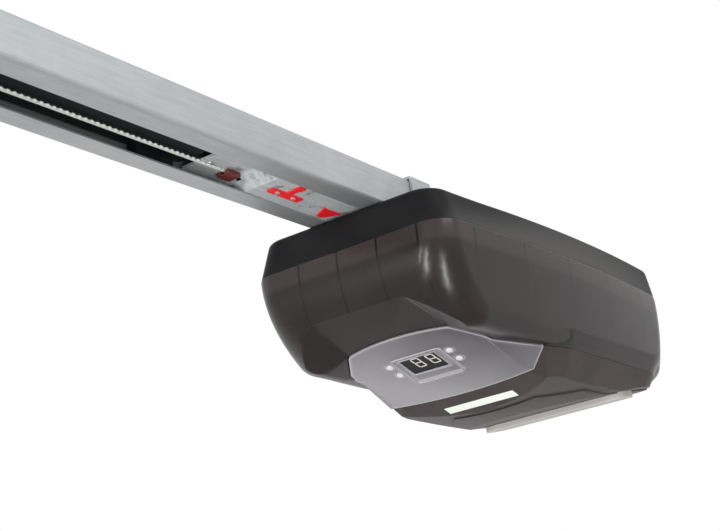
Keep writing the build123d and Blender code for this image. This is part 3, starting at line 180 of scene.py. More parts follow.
# Rivets on the tongue of the station plate
TONGUE_RIVETS = [(-10 * MM, -306 * MM), (-10 * MM, -286 * MM)]
TONGUE_RIVET_RADIUS = 1.5 * MM
TONGUE_RIVET_HEIGHT = 0.7 * MM

# Two-digit display
DIGIT_WIDTH = 7.1 * MM
DIGIT_HEIGHT = 13.7 * MM
DIGIT_PITCH = 12.5 * MM
DIGIT_STROKE = 1.15 * MM
DIGIT_LEAN = 0.06
DIGIT_CENTRE = (2.7 * MM, -2.5 * MM)
DIGIT_LIFT = 0.08 * MM
FACE_DEPTH = 0.01 * MM

# Bare label plate on the belly, behind the lens
LABEL_LEFT_X = -29.5 * MM
LABEL_RIGHT_X = 32 * MM
LABEL_FRONT_Y = -26.0 * MM
LABEL_REAR_Y = -17.5 * MM
LABEL_SHEET = 0.35 * MM
LABEL_COLUMNS = 24
LABEL_ROWS = 5


def linear(hex_colour):
    """Linear RGBA of an sRGB hex value."""
    channels = [int(hex_colour[i : i + 2], 16) / 255 for i in (1, 3, 5)]
    curve = [c / 12.92 if c <= 0.04045 else ((c + 0.055) / 1.055) ** 2.4 for c in channels]
    return (*curve, 1.0)


def per_mm(size):
    """Texture scale that makes one feature about so many millimetres wide."""
    return 1 / (size * MM)


def put(tree, kind, inputs=None, stops=(), **settings):
    """Adds one node, sets it up, colours its ramp stops and links or fills its inputs."""
    node = tree.nodes.new(kind)
    for element, (position, colour) in zip(node.color_ramp.elements if stops else (), stops):
        element.position = position
        element.color = linear(colour)
    for key, value in settings.items():
        setattr(node, key, value)
    for socket, value in (inputs or {}).items():
        if isinstance(value, bpy.types.NodeSocket):
            tree.links.new(value, node.inputs[socket])
        else:
            node.inputs[socket].default_value = value
    return node


def blank_material(name):
    """An empty material, its node tree and a vector in the piece's own coordinates."""
    material = bpy.data.materials.new(name)
    material.use_nodes = True
    tree = material.node_tree
    tree.nodes.clear()
    place = put(tree, "ShaderNodeTexCoord").outputs["Object"]
    return material, tree, place


def close_material(tree, shader):
    """Sends the finished shader to the output."""
    put(tree, "ShaderNodeOutputMaterial", {"Surface": shader.outputs[0]})


def worn_and_lit_edges(tree, radius_mm):
    """Normals rounded over sharp edges, and a mask that is 1 on those edges."""
    rounded = put(
        tree, "ShaderNodeBevel", {"Radius": radius_mm * MM}, samples=BEVEL_SAMPLES
    ).outputs["Normal"]
    flat = put(tree, "ShaderNodeNewGeometry").outputs["Normal"]
    match = put(tree, "ShaderNodeVectorMath", {0: rounded, 1: flat}, operation="DOT_PRODUCT")
    mask = put(
        tree,
        "ShaderNodeMapRange",
        {"Value": match.outputs["Value"], "From Min": EDGE_START, "From Max": EDGE_FULL},
    )
    return rounded, mask.outputs["Result"]


def painted_flank_light(tree, place, tint, shade):
    """The tint, paled along both flanks of the base by painted light from the side."""
    axes = put(tree, "ShaderNodeSeparateXYZ", {"Vector": place})
    aside = put(tree, "ShaderNodeMath", {0: axes.outputs["X"]}, operation="ABSOLUTE")
    dust_and_light_mask = put(
        tree,
        "ShaderNodeMapRange",
        {"Value": aside.outputs[0], "From Min": FLANK_LIGHT_X - FLANK_LIGHT_WIDTH, "From Max": FLANK_LIGHT_X},
        interpolation_type="SMOOTHSTEP",
    )
    dusted_and_lit = put(
        tree, "ShaderNodeMix", {0: dust_and_light_mask.outputs["Result"], 6: tint, 7: linear(shade)}, data_type="RGBA"
    )
    return dusted_and_lit.outputs[2]


def moulded_plastic(
    name, colour, scuffed, grain_mm, roughness, relief=0.12, gloss=0.5, metallic=0.0, flank_light_colour=None
):
    """Injection-moulded plastic: spark-eroded grain, faint clouding, and a second tint on worn edges."""
    material, tree, place = blank_material(name)
    rounded, edges = worn_and_lit_edges(tree, MOULDED_EDGE_MM)
    grain = put(tree, "ShaderNodeTexNoise", {"Vector": place, "Scale": per_mm(grain_mm), "Detail": 2.0})
    cloud = put(tree, "ShaderNodeTexNoise", {"Vector": place, "Scale": per_mm(CLOUD_MM), "Detail": 4.0})
    worn = put(
        tree,
        "ShaderNodeMath",
        {0: edges, 1: EDGE_WEAR, 2: cloud.outputs["Fac"]},
        operation="MULTIPLY_ADD",
    )
    tint = put(
        tree, "ShaderNodeValToRGB", {"Fac": worn.outputs[0]}, stops=[(0.35, colour), (0.85, scuffed)]
    ).outputs["Color"]
    # painted light: both flanks of the base are paled as if lit from the side
    if flank_light_colour:
        tint = painted_flank_light(tree, place, tint, flank_light_colour)
    dull = put(
        tree,
        "ShaderNodeMapRange",
        {"Value": cloud.outputs["Fac"], "To Min": roughness - POLISHED, "To Max": roughness + DULLED},
    )
    bump = put(
        tree,
        "ShaderNodeBump",
        {"Height": grain.outputs["Fac"], "Strength": relief, "Distance": GRAIN_HEIGHT, "Normal": rounded},
    )
    shader = put(
        tree,
        "ShaderNodeBsdfPrincipled",
        {
            "Base Color": tint,
            "Roughness": dull.outputs["Result"],
            "Normal": bump.outputs["Normal"],
            "Specular IOR Level": gloss,
            "Metallic": metallic,
        },
    )
    close_material(tree, shader)
    return material


def grease_spots(tree, place, tint, amount):
    """The tint, darkened by smears of old grease."""
    spots = put(
        tree,
        "ShaderNodeTexNoise",
        {"Vector": place, "Scale": per_mm(GREASE_MM), "Detail": 6.0, "Roughness": 0.7},
    )
    smear = put(
        tree,
        "ShaderNodeMapRange",
        {
            "Value": spots.outputs["Fac"],
            "From Min": GREASE_START,
            "From Max": GREASE_FULL,
            "To Max": amount,
        },
    )
    soiled = put(
        tree,
        "ShaderNodeMix",
        {0: smear.outputs["Result"], 6: tint, 7: linear(GREASE_SHADE)},
        data_type="RGBA",
    )
    return soiled.outputs[2]


def galvanised_sheet(name, bright, dark, streak_mm, roughness, metallic, grease=0.0):
    """Zinc-coated steel: pale, with faint spangle, weathering and rolling streaks along its length."""
    material, tree, place = blank_material(name)
    stretched = put(tree, "ShaderNodeMapping", {"Vector": place, "Scale": STREAK_SQUEEZE})
    streak = put(
        tree,
        "ShaderNodeTexNoise",
        {"Vector": stretched.outputs["Vector"], "Scale": per_mm(streak_mm), "Detail": 5.0},
    )
    spangle = put(
        tree, "ShaderNodeTexVoronoi", {"Vector": place, "Scale": per_mm(SPANGLE_MM), "Randomness": 1.0}
    )
    weather = put(tree, "ShaderNodeTexNoise", {"Vector": place, "Scale": per_mm(WEATHER_MM), "Detail": 3.0})
    rolled = put(
        tree,
        "ShaderNodeMix",
        {0: SPANGLE_SHARE, "A": streak.outputs["Fac"], "B": spangle.outputs["Color"]},
        data_type="FLOAT",
    )
    blend = put(
        tree,
        "ShaderNodeMix",
        {0: WEATHER_SHARE, "A": rolled.outputs["Result"], "B": weather.outputs["Fac"]},
        data_type="FLOAT",
    )
    tint = put(
        tree, "ShaderNodeValToRGB", {"Fac": blend.outputs["Result"]}, stops=[(0.3, dark), (0.7, bright)]
    ).outputs["Color"]
    if grease:
        tint = grease_spots(tree, place, tint, grease)
    dull = put(
        tree,
        "ShaderNodeMapRange",
        {
            "Value": blend.outputs["Result"],
            "To Min": roughness + ZINC_SPREAD,
            "To Max": roughness - ZINC_SPREAD,
        },
    )
    bump = put(
        tree,
        "ShaderNodeBump",
        {"Height": streak.outputs["Fac"], "Strength": 0.08, "Distance": GRAIN_HEIGHT},
    )
    shader = put(
        tree,
        "ShaderNodeBsdfPrincipled",
        {
            "Base Color": tint,
            "Metallic": metallic,
            "Roughness": dull.outputs["Result"],
            "Normal": bump.outputs["Normal"],
        },
    )
    close_material(tree, shader)
    return material


def clear_plastic(name, colour, darker_tint, edge, rim_mm, roughness, transmission, gloss, light_lean=EVEN):
    """Frosted or opal polycarbonate: painted light in its rims, an optional painted lean of light across it,
    and flow lines that vary its milky tint.
    """
    material, tree, place = blank_material(name)
    rounded, edges = worn_and_lit_edges(tree, CLEAR_EDGE_MM)
    # painted highlight: the rims are paled as if they gathered light
    rim = worn_and_lit_edges(tree, rim_mm)[1]
    glow = put(
        tree, "ShaderNodeMath", {0: rim, 1: RIM_GLOW, 2: edges}, operation="MULTIPLY_ADD", use_clamp=True
    )
    flow = put(tree, "ShaderNodeTexNoise", {"Vector": place, "Scale": per_mm(FLOW_MM), "Detail": 3.0})
    frost = put(tree, "ShaderNodeTexNoise", {"Vector": place, "Scale": per_mm(FROST_MM), "Detail": 1.0})
    # painted light: a lean that pales the lens towards one side
    centred = put(tree, "ShaderNodeVectorMath", {0: place, 1: LENS_MIDDLE}, operation="SUBTRACT")
    light_fade = put(tree, "ShaderNodeVectorMath", {0: centred.outputs[0], 1: light_lean}, operation="DOT_PRODUCT")
    faint = put(
        tree,
        "ShaderNodeMapRange",
        {"Value": flow.outputs["Fac"], "To Min": FLOW_LOW, "To Max": FLOW_HIGH},
    )
    depth = put(
        tree, "ShaderNodeMath", {0: light_fade.outputs["Value"], 1: faint.outputs["Result"]}, operation="ADD"
    )
    body = put(
        tree, "ShaderNodeValToRGB", {"Fac": depth.outputs[0]}, stops=[(0.3, darker_tint), (0.7, colour)]
    )
    lit = put(
        tree,
        "ShaderNodeMix",
        {0: glow.outputs[0], 6: body.outputs["Color"], 7: linear(edge)},
        data_type="RGBA",
    )
    dull = put(
        tree,
        "ShaderNodeMapRange",
        {
            "Value": flow.outputs["Fac"],
            "To Min": roughness - CLEAR_SPREAD,
            "To Max": roughness + CLEAR_SPREAD,
        },
    )
    bump = put(
        tree,
        "ShaderNodeBump",
        {"Height": frost.outputs["Fac"], "Strength": 0.05, "Distance": GRAIN_HEIGHT, "Normal": rounded},
    )
    shader = put(
        tree,
        "ShaderNodeBsdfPrincipled",
        {
            "Base Color": lit.outputs[2],
            "Roughness": dull.outputs["Result"],
            "Normal": bump.outputs["Normal"],
            "IOR": POLYCARBONATE_IOR,
            "Specular IOR Level": gloss,
            "Transmission Weight": transmission,
        },
    )
    close_material(tree, shader)
    return material


def rib_marks(tree, axes):
    """A mask that is 1 on the upright ribs inside the smoked cover, across its nose and along its flanks."""
    rows = {}
    for axis, first, pitch in (("X", FRONT_RIB_X, FRONT_RIB_PITCH), ("Y", FLANK_RIB_Y, FLANK_RIB_PITCH)):
        moved = put(tree, "ShaderNodeMath", {0: axes.outputs[axis], 1: first}, operation="SUBTRACT")
        away = put(tree, "ShaderNodeMath", {0: moved.outputs[0], 1: pitch / 2}, operation="PINGPONG")
        row = put(
            tree,
            "ShaderNodeMapRange",
            {"Value": away.outputs[0], "From Min": RIB_HALF, "From Max": RIB_CORE},
            interpolation_type="SMOOTHSTEP",
        )
        rows[axis] = row.outputs["Result"]
    nose = put(
        tree,
        "ShaderNodeMapRange",
        {"Value": axes.outputs["Y"], "From Min": NOSE_END_Y + NOSE_BLUR, "From Max": NOSE_END_Y},
    )
    rib = put(
        tree,
        "ShaderNodeMix",
        {0: nose.outputs["Result"], "A": rows["Y"], "B": rows["X"]},
        data_type="FLOAT",
    )
    high = put(
        tree,
        "ShaderNodeMapRange",
        {"Value": axes.outputs["Z"], "From Min": RIB_FOOT_Z, "From Max": RIB_FOOT_Z + RIB_FADE},
    )
    ribs = put(
        tree, "ShaderNodeMath", {0: rib.outputs["Result"], 1: high.outputs["Result"]}, operation="MULTIPLY"
    )
    return ribs.outputs[0]


def lapped_tint(tree, place, axes, flow, colour, shadow, lip_and_edge_light, inside):
    """The cover's dark flow tint, and above its lap the paler shapes of what stands behind it."""
    blocks = put(
        tree,
        "ShaderNodeTexVoronoi",
        {"Vector": place, "Scale": per_mm(INSIDE_MM), "Randomness": 0.7},
        distance="CHEBYCHEV",
    )
    lap = put(
        tree,
        "ShaderNodeMapRange",
        {"Value": axes.outputs["Z"], "From Min": LAP_Z - LAP_BLUR, "From Max": LAP_Z + LAP_BLUR},
        interpolation_type="SMOOTHSTEP",
    )
    depth = put(
        tree, "ShaderNodeValToRGB", {"Fac": flow.outputs["Fac"]}, stops=[(0.35, shadow), (0.7, colour)]
    )
    shown = put(
        tree, "ShaderNodeValToRGB", {"Fac": blocks.outputs["Color"]}, stops=[(0.35, lip_and_edge_light), (0.9, inside)]
    )
    lapped = put(
        tree,
        "ShaderNodeMix",
        {0: lap.outputs["Result"], 6: depth.outputs["Color"], 7: shown.outputs["Color"]},
        data_type="RGBA",
    )
    return lapped.outputs[2]


def smoked_wall(name, colour, shadow, lip_and_edge_light, inside):
    """Smoked polycarbonate: a dark see-through wall, paler where it laps the base, with painted light on its
    edges, ribs and a seam.
    """
    material, tree, place = blank_material(name)
    rounded, edges = worn_and_lit_edges(tree, SMOKED_EDGE_MM)
    axes = put(tree, "ShaderNodeSeparateXYZ", {"Vector": place})
    flow = put(tree, "ShaderNodeTexNoise", {"Vector": place, "Scale": per_mm(FLOW_MM), "Detail": 3.0})
    polish = put(tree, "ShaderNodeTexNoise", {"Vector": place, "Scale": per_mm(POLISH_MM), "Detail": 1.0})
    lapped = lapped_tint(tree, place, axes, flow, colour, shadow, lip_and_edge_light, inside)
    # painted highlight: the sharp edges are paled to the lip colour
    lit = put(tree, "ShaderNodeMix", {0: edges, 6: lapped, 7: linear(lip_and_edge_light)}, data_type="RGBA")
    seam = put(
        tree,
        "ShaderNodeMapRange",
        {
            "Value": axes.outputs["Z"],
            "From Min": SEAM_Z - SEAM_DEPTH,
            "From Max": SEAM_Z - SEAM_DEPTH + SEAM_BLUR,
        },
    )
    lines = put(
        tree, "ShaderNodeMath", {0: rib_marks(tree, axes), 1: seam.outputs["Result"]}, operation="MAXIMUM"
    )
    ribbed = put(
        tree,
        "ShaderNodeMix",
        {0: lines.outputs[0], 6: lit.outputs[2], 7: linear(RIB_SHADE)},
        data_type="RGBA",
    )
    dull = put(
        tree,
        "ShaderNodeMapRange",
        {"Value": flow.outputs["Fac"], "To Min": SMOKED_SHINE, "To Max": SMOKED_HAZE},
    )
    bump = put(
        tree,
        "ShaderNodeBump",
        {"Height": polish.outputs["Fac"], "Strength": 0.05, "Distance": GRAIN_HEIGHT, "Normal": rounded},
    )
    shader = put(
        tree,
        "ShaderNodeBsdfPrincipled",
        {
            "Base Color": ribbed.outputs[2],
            "Roughness": dull.outputs["Result"],
            "Normal": bump.outputs["Normal"],
            "IOR": POLYCARBONATE_IOR,
            "Specular IOR Level": 0.11,
            "Transmission Weight": 0.35,
        },
    )
    close_material(tree, shader)
    return material


def corded_belt(name, rubber, dusted_and_lit, edge):
    """Toothed drive belt: dark rubber, with the pale cut edge of its cords along the underside."""
    material, tree, place = blank_material(name)
    axes = put(tree, "ShaderNodeSeparateXYZ", {"Vector": place})
    dust_and_light_mask = put(tree, "ShaderNodeTexNoise", {"Vector": place, "Scale": per_mm(BELT_DUST_MM), "Detail": 4.0})
    weave = put(tree, "ShaderNodeTexNoise", {"Vector": place, "Scale": per_mm(WEAVE_MM), "Detail": 1.0})
    body = put(
        tree, "ShaderNodeValToRGB", {"Fac": dust_and_light_mask.outputs["Fac"]}, stops=[(0.4, rubber), (0.75, dusted_and_lit)]
    )
    cut = put(
        tree,
        "ShaderNodeMapRange",
        {
            "Value": axes.outputs["Z"],
            "From Min": BELT_LOW_Z + BELT_CUT_EDGE,
            "From Max": BELT_LOW_Z + BELT_CUT_FULL,
        },
    )
    both = put(
        tree,
        "ShaderNodeMix",
        {0: cut.outputs["Result"], 6: body.outputs["Color"], 7: linear(edge)},
        data_type="RGBA",
    )
    bump = put(
        tree,
        "ShaderNodeBump",
        {"Height": weave.outputs["Fac"], "Strength": 0.15, "Distance": GRAIN_HEIGHT},
    )
    shader = put(
        tree,
        "ShaderNodeBsdfPrincipled",
        {
            "Base Color": both.outputs[2],
            "Roughness": 0.55,
            "Normal": bump.outputs["Normal"],
            "Specular IOR Level": 0.3,
        },
    )
    close_material(tree, shader)
    return material


# Hot-dip galvanised strip: pale grey and half matt, with fine rolling streaks along the rail
rail_zinc = galvanised_sheet(
    "galvanised_strip_steel", "#b3b4b4", "#9ba0a3", streak_mm=1.2, roughness=0.46, metallic=0.75
)
# Pressed zinc-coated plate: whiter and duller than the rail, blotched with old grease
plate_zinc = galvanised_sheet(
    "pressed_zinc_plate", "#c2c5c6", "#9a9ea0", streak_mm=2.5, roughness=0.5, metallic=0.3, grease=0.75
)
# Passivated zinc: a flat middle grey that hardly reflects
dull_zinc = galvanised_sheet(
    "dull_passivated_zinc", "#8b8e90", "#75797b", streak_mm=1.6, roughness=0.6, metallic=0.2
)
# Bright zinc plating: a warm silver with small hard highlights
bright_zinc = galvanised_sheet(
    "bright_zinc_plate", "#e2e1dc", "#c9c8c3", streak_mm=0.8, roughness=0.3, metallic=0.7
)

# Moulded grain is really about 0.1 mm wide, so on every plastic below it is drawn coarse enough to show
# Grained ABS: nearly black with little gloss, and paled along its flanks by painted light from the side
charcoal_abs = moulded_plastic(
    "charcoal_moulded_abs",
    "#111113",
    "#222223",
    grain_mm=0.9,
    roughness=0.5,
    gloss=0.08,
    flank_light_colour="#4a4948",
)
# Satin ABS: a warm dark grey, a little glossier than the base
graphite_abs = moulded_plastic(
    "graphite_satin_abs", "#322c2b", "#453f3e", grain_mm=0.7, roughness=0.45, gloss=0.16
)
# Glass-filled nylon: a dry, slightly rough black
black_nylon = moulded_plastic(
    "black_glass_filled_nylon", "#0b0c0f", "#15161a", grain_mm=0.8, roughness=0.5, gloss=0.2
)
# Acetal: waxy off-white, darker on its edges
white_acetal = moulded_plastic("white_acetal", "#dcdad2", "#c9c6bc", grain_mm=0.7, roughness=0.35)
# Dyed nylon: a clear warning red with a smooth moulded shine
red_nylon = moulded_plastic("signal_red_nylon", "#e0141e", "#d01822", grain_mm=0.7, roughness=0.38)
# Dark dyed nylon: a brownish red, duller than the catch
dark_red_nylon = moulded_plastic("oxide_red_nylon", "#5c2424", "#6b2c2a", grain_mm=0.7, roughness=0.45)
# Solder mask on glass fibre: a deep, fairly glossy green with a coarse faint grain
board_green = moulded_plastic(
    "solder_mask_on_glass_fibre", "#1d5a35", "#256b40", grain_mm=1.4, roughness=0.35
)
# PBT cases: an even satin blue
relay_blue = moulded_plastic("relay_case_pbt", "#25408a", "#2f4c9a", grain_mm=0.8, roughness=0.4)
# Shrunk PET sleeve: shiny blue black
can_sleeve = moulded_plastic("capacitor_sleeve_pet", "#1c1e26", "#2a2d38", grain_mm=0.6, roughness=0.25)
# Phosphor in silicone: soft yellow with a slight shine
phosphor = moulded_plastic("led_phosphor_silicone", "#e8d070", "#f0dc88", grain_mm=0.5, roughness=0.3)
# Primed steel: a middle grey with some metal in its shine, darker on its edges
motor_primer = moulded_plastic(
    "zinc_primer_on_steel", "#6a6c6e", "#5c5e60", grain_mm=0.8, roughness=0.45, metallic=0.6
)
# Lacquered core steel: dark grey and dull, finely grained
core_steel = moulded_plastic(
    "lacquered_laminations", "#54565a", "#46484c", grain_mm=0.5, roughness=0.5, metallic=0.6
)
# Enamelled copper under tape: warm orange brown with a soft shine
coil_wire = moulded_plastic(
    "enamelled_copper_under_tape", "#b0703a", "#9a5c2c", grain_mm=0.4, roughness=0.35
)
# Tinted acrylic: a deep, smooth black that the digits stand out from
display_black = moulded_plastic(
    "black_acrylic_filter", "#0a0a0b", "#101011", grain_mm=0.6, roughness=0.2, relief=0.03, gloss=0.2
)
# Diffusing epoxy: pale warm grey, nearly matt
digit_ink = moulded_plastic(
    "diffusing_epoxy_segments", "#d6d4cc", "#cac8c0", grain_mm=0.6, roughness=0.4, relief=0.03
)
# Polyester film: a clean greenish white, smooth and a little glossy
label_film = moulded_plastic(
    "bare_polyester_film", "#e2e6de", "#dadfd6", grain_mm=0.9, roughness=0.3, relief=0.03
)

# Cord-reinforced rubber: nearly black and dusty, with a pale cut edge that shows in the rail's slot
belt_rubber = corded_belt("corded_belt_rubber", "#1c1d1f", "#2c2d2e", edge="#d2d5ce")

# Smoked polycarbonate: warm and dark, with long soft reflections, painted light along its edges, and ribs
# that show through it
smoked_pc = smoked_wall(
    "smoked_polycarbonate", "#2a2120", shadow="#1e1716", lip_and_edge_light="#37302f", inside="#3d3230"
)
# Frosted polycarbonate: a milky cool grey, with painted light at its rims and towards its left and rear
frosted_pc = clear_plastic(
    "frosted_polycarbonate",
    "#9c9a9e",
    darker_tint="#524f55",
    edge="#d2d1d5",
    rim_mm=4.5,
    roughness=0.42,
    transmission=0.2,
    gloss=0.3,
    light_lean=LENS_LIGHT_LEAN,
)
# Milky polycarbonate: bright little domes with clear highlights, and painted light at their rims
button_pc = clear_plastic(
    "milky_polycarbonate_buttons",
    "#d6d4d6",
    darker_tint="#c2c0c3",
    edge="#f0eff0",
    rim_mm=0.6,
    roughness=0.3,
    transmission=0.1,
    gloss=0.5,
)
# Opal polycarbonate: an even warm grey with painted light at its rims, hardly see-through
opal_pc = clear_plastic(
    "opal_polycarbonate",
    "#b4b1ae",
    darker_tint="#a5a29f",
    edge="#d0cecb",
    rim_mm=3.0,
    roughness=0.5,
    transmission=0.05,
    gloss=0.3,
)

FINISHES = {
    rail_zinc: ["rail", "rail_saddle", "idler_yoke", "arm_lugs", "belt_clamp"],
    plate_zinc: ["station_plate"],
    dull_zinc: ["wall_bracket"],
    bright_zinc: [
        "saddle_screws", "tension_screw", "tension_nut", "bracket_pin", "lever_pin", "idler_axle",
        "catch_rivets", "output_shaft", "shaft_bearings", "worm_shaft",
    ],
    charcoal_abs: ["base_housing"],
    smoked_pc: ["smoked_cover"],
    graphite_abs: ["belly_cover"],
    frosted_pc: ["control_lens"],
    button_pc: ["push_button_1", "push_button_2", "push_button_3", "push_button_4"],
    opal_pc: ["light_lens"],
    black_nylon: [
        "carriage_body", "end_block", "cable_gland", "motor_end_cap", "button_switches", "gearbox_lid",
        "gearbox_housing", "slide_shoes",
    ],
    display_black: ["display_module"],
    white_acetal: ["drive_pulley", "idler_pulley", "worm_wheel"],
    red_nylon: ["red_catch", "red_hook", "release_lever"],
    dark_red_nylon: ["belt_guide"],
    belt_rubber: ["belt"],
    board_green: ["main_board", "control_board", "led_board"],
    relay_blue: ["relays", "terminal_block"],
    can_sleeve: ["capacitors"],
    phosphor: ["led_chips"],
    motor_primer: ["motor_can"],
    core_steel: ["transformer_core"],
    coil_wire: ["transformer_coil"],
}
for finish, names in FINISHES.items():
    for name in names:
        nodes[name].data.materials.clear()
        nodes[name].data.materials.append(finish)


def add_piece(name, mesh, body, slot, *stands_for):
    """Puts a finished mesh into the scene as a piece that rides on a body."""
    piece = bpy.data.objects.new(name, mesh)
    bpy.context.scene.collection.objects.link(piece)
    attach(piece, body)
    if stands_for:
        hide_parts(*stands_for)


def smooth_skin(node, body, slot):
    """A merged copy of a moulded shell, so that its round faces shade as one skin up to the real edges."""
    mesh = nodes[node].data.copy()
    mesh.name = node + "_skin"
    skin = bmesh.new()
    skin.from_mesh(mesh)
    bmesh.ops.remove_doubles(skin, verts=skin.verts, dist=MERGE_GAP)
    skin.to_mesh(mesh)
    skin.free()
    mesh.shade_smooth()
    mesh.set_sharp_from_angle(angle=SMOOTH_ANGLE)
    form = bpy.data.objects.new(node + "_form", mesh)
    bpy.context.scene.collection.objects.link(form)
    weigh = form.modifiers.new("weigh", "WEIGHTED_NORMAL")
    weigh.keep_sharp = True
    graph = bpy.context.evaluated_depsgraph_get()
    even = bpy.data.meshes.new_from_object(form.evaluated_get(graph))
    bpy.data.objects.remove(form)
    add_piece(node + "_skin", even, body, slot, node)


def size_tree(name, sizes):
    """An empty geometry tree with named size inputs, and the sockets that give them."""
    tree = bpy.data.node_groups.new(name, "GeometryNodeTree")
    tree.interface.new_socket("Geometry", in_out="OUTPUT", socket_type="NodeSocketGeometry")
    kinds = {int: "NodeSocketInt", float: "NodeSocketFloat", tuple: "NodeSocketVector"}
    for label, value in sizes.items():
        tree.interface.new_socket(label, in_out="INPUT", socket_type=kinds[type(value)])
    return tree, put(tree, "NodeGroupInput").outputs


def close_tree(tree, geometry, material):
    """Makes the instances real, gives them their material and sends them out."""
    real = put(tree, "GeometryNodeRealizeInstances", {"Geometry": geometry})
    dressed = put(tree, "GeometryNodeSetMaterial", {"Geometry": real.outputs[0], "Material": material})
    put(tree, "NodeGroupOutput", {"Geometry": dressed.outputs[0]})


def grown_mesh(tree, sizes):
    """Runs a geometry tree with its sizes filled in and keeps the result as a plain mesh."""
    seed = bpy.data.objects.new(tree.name, bpy.data.meshes.new(tree.name))
    bpy.context.scene.collection.objects.link(seed)
    grow = seed.modifiers.new("grow", "NODES")
    grow.node_group = tree
    for socket in tree.interface.items_tree:
        if socket.in_out == "INPUT":
            grow[socket.identifier] = sizes[socket.name]
    graph = bpy.context.evaluated_depsgraph_get()
    mesh = bpy.data.meshes.new_from_object(seed.evaluated_get(graph))
    seed.modifiers.remove(grow)
    bpy.data.objects.remove(seed)
    return mesh


def hit_from_below(node, spots):
    """Where upright rays at these spots first meet a node's underside."""
    solid = bmesh.new()
    solid.from_mesh(nodes[node].data)
    tree = BVHTree.FromBMesh(solid)
    solid.free()
    return [tree.ray_cast(Vector((x, y, cad_low[2] - MM)), Vector((0, 0, 1)))[0] for x, y in spots]


def belt_teeth():
    """Moulded teeth on the inner face of both straight strands of the belt."""
    low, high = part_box("belt")
    strand_x = high[0] - BELT_THICKNESS
    start = low[1] + high[0] + TOOTH_MARGIN
    run = high[1] - high[0] - TOOTH_MARGIN - start
    sizes = {
        "Count": int(run / TOOTH_PITCH),
        "Start": (0.0, start, (low[2] + high[2]) / 2),
        "Step": (0.0, TOOTH_PITCH, 0.0),
        "Root": TOOTH_ROOT / math.sqrt(2),
        "Tip": TOOTH_TIP / math.sqrt(2),
        "Depth": TOOTH_DEPTH,
        "Spread": (1.0, 1.0, (high[2] - low[2]) / TOOTH_ROOT),
        "Right": (strand_x, 0.0, 0.0),
        "Left": (-strand_x, 0.0, 0.0),
    }
    tree, size = size_tree("belt_teeth", sizes)
    line = put(
        tree,
        "GeometryNodeMeshLine",
        {"Count": size["Count"], "Start Location": size["Start"], "Offset": size["Step"]},
    )
    tooth = put(
        tree,
        "GeometryNodeMeshCone",
        {"Vertices": 4, "Radius Top": size["Tip"], "Radius Bottom": size["Root"], "Depth": size["Depth"]},
    )
    square = put(
        tree,
        "GeometryNodeTransform",
        {"Geometry": tooth.outputs["Mesh"], "Rotation": (0.0, 0.0, math.radians(45))},
    )
    both = put(tree, "GeometryNodeJoinGeometry")
    for side, turn in (("Right", -90), ("Left", 90)):
        turned = put(
            tree,
            "GeometryNodeTransform",
            {"Geometry": square.outputs[0], "Rotation": (0.0, math.radians(turn), 0.0)},
        )
        wide = put(
            tree,
            "GeometryNodeTransform",
            {"Geometry": turned.outputs[0], "Translation": size[side], "Scale": size["Spread"]},
        )
        row = put(
            tree, "GeometryNodeInstanceOnPoints", {"Points": line.outputs[0], "Instance": wide.outputs[0]}
        )
        tree.links.new(row.outputs[0], both.inputs[0])
    close_tree(tree, both.outputs[0], belt_rubber)
    add_piece("belt_teeth", grown_mesh(tree, sizes), "head", "belt_rubber")


def saddle_screw_heads():
    """Hex flange screws that hold the saddle's two feet on the head."""
    low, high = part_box("saddle_screws")
    seat = high[2] - SCREW_FLANGE_HEIGHT - SCREW_HEX_HEIGHT - SCREW_CHAMFER
    middle = (low[1] + high[1]) / 2
    reach = high[0] - SCREW_FLANGE_RADIUS
    sizes = {
        "Start": (-reach, middle, 0.0),
        "Step": (2 * reach, 0.0, 0.0),
        "Flange": SCREW_FLANGE_RADIUS,
        "Rim": SCREW_HEX_RADIUS + SCREW_CHAMFER,
        "Hex": SCREW_HEX_RADIUS,
        "Crown": SCREW_HEX_RADIUS - SCREW_CHAMFER,
        "Shank": SCREW_SHANK_RADIUS,
    }
    tree, size = size_tree("saddle_screw_heads", sizes)
    line = put(
        tree,
        "GeometryNodeMeshLine",
        {"Count": 2, "Start Location": size["Start"], "Offset": size["Step"]},
    )
    level = low[2]
    screw = put(tree, "GeometryNodeJoinGeometry")
    for lower, upper, height, sides in (
        ("Shank", "Shank", seat - low[2], 24),
        ("Flange", "Rim", SCREW_FLANGE_HEIGHT, 32),
        ("Hex", "Hex", SCREW_HEX_HEIGHT, 6),
        ("Hex", "Crown", SCREW_CHAMFER, 6),
    ):
        step = put(
            tree,
            "GeometryNodeMeshCone",
            {"Vertices": sides, "Radius Top": size[upper], "Radius Bottom": size[lower], "Depth": height},
        )
        lifted = put(
            tree,
            "GeometryNodeTransform",
            {"Geometry": step.outputs["Mesh"], "Translation": (0.0, 0.0, level)},
        )
        tree.links.new(lifted.outputs[0], screw.inputs[0])
        level += height
    pair = put(
        tree, "GeometryNodeInstanceOnPoints", {"Points": line.outputs[0], "Instance": screw.outputs[0]}
    )
    close_tree(tree, pair.outputs[0], bright_zinc)
    mesh = grown_mesh(tree, sizes)
    add_piece("saddle_screw_heads", mesh, "head", "zinc_plated_steel", "saddle_screws")


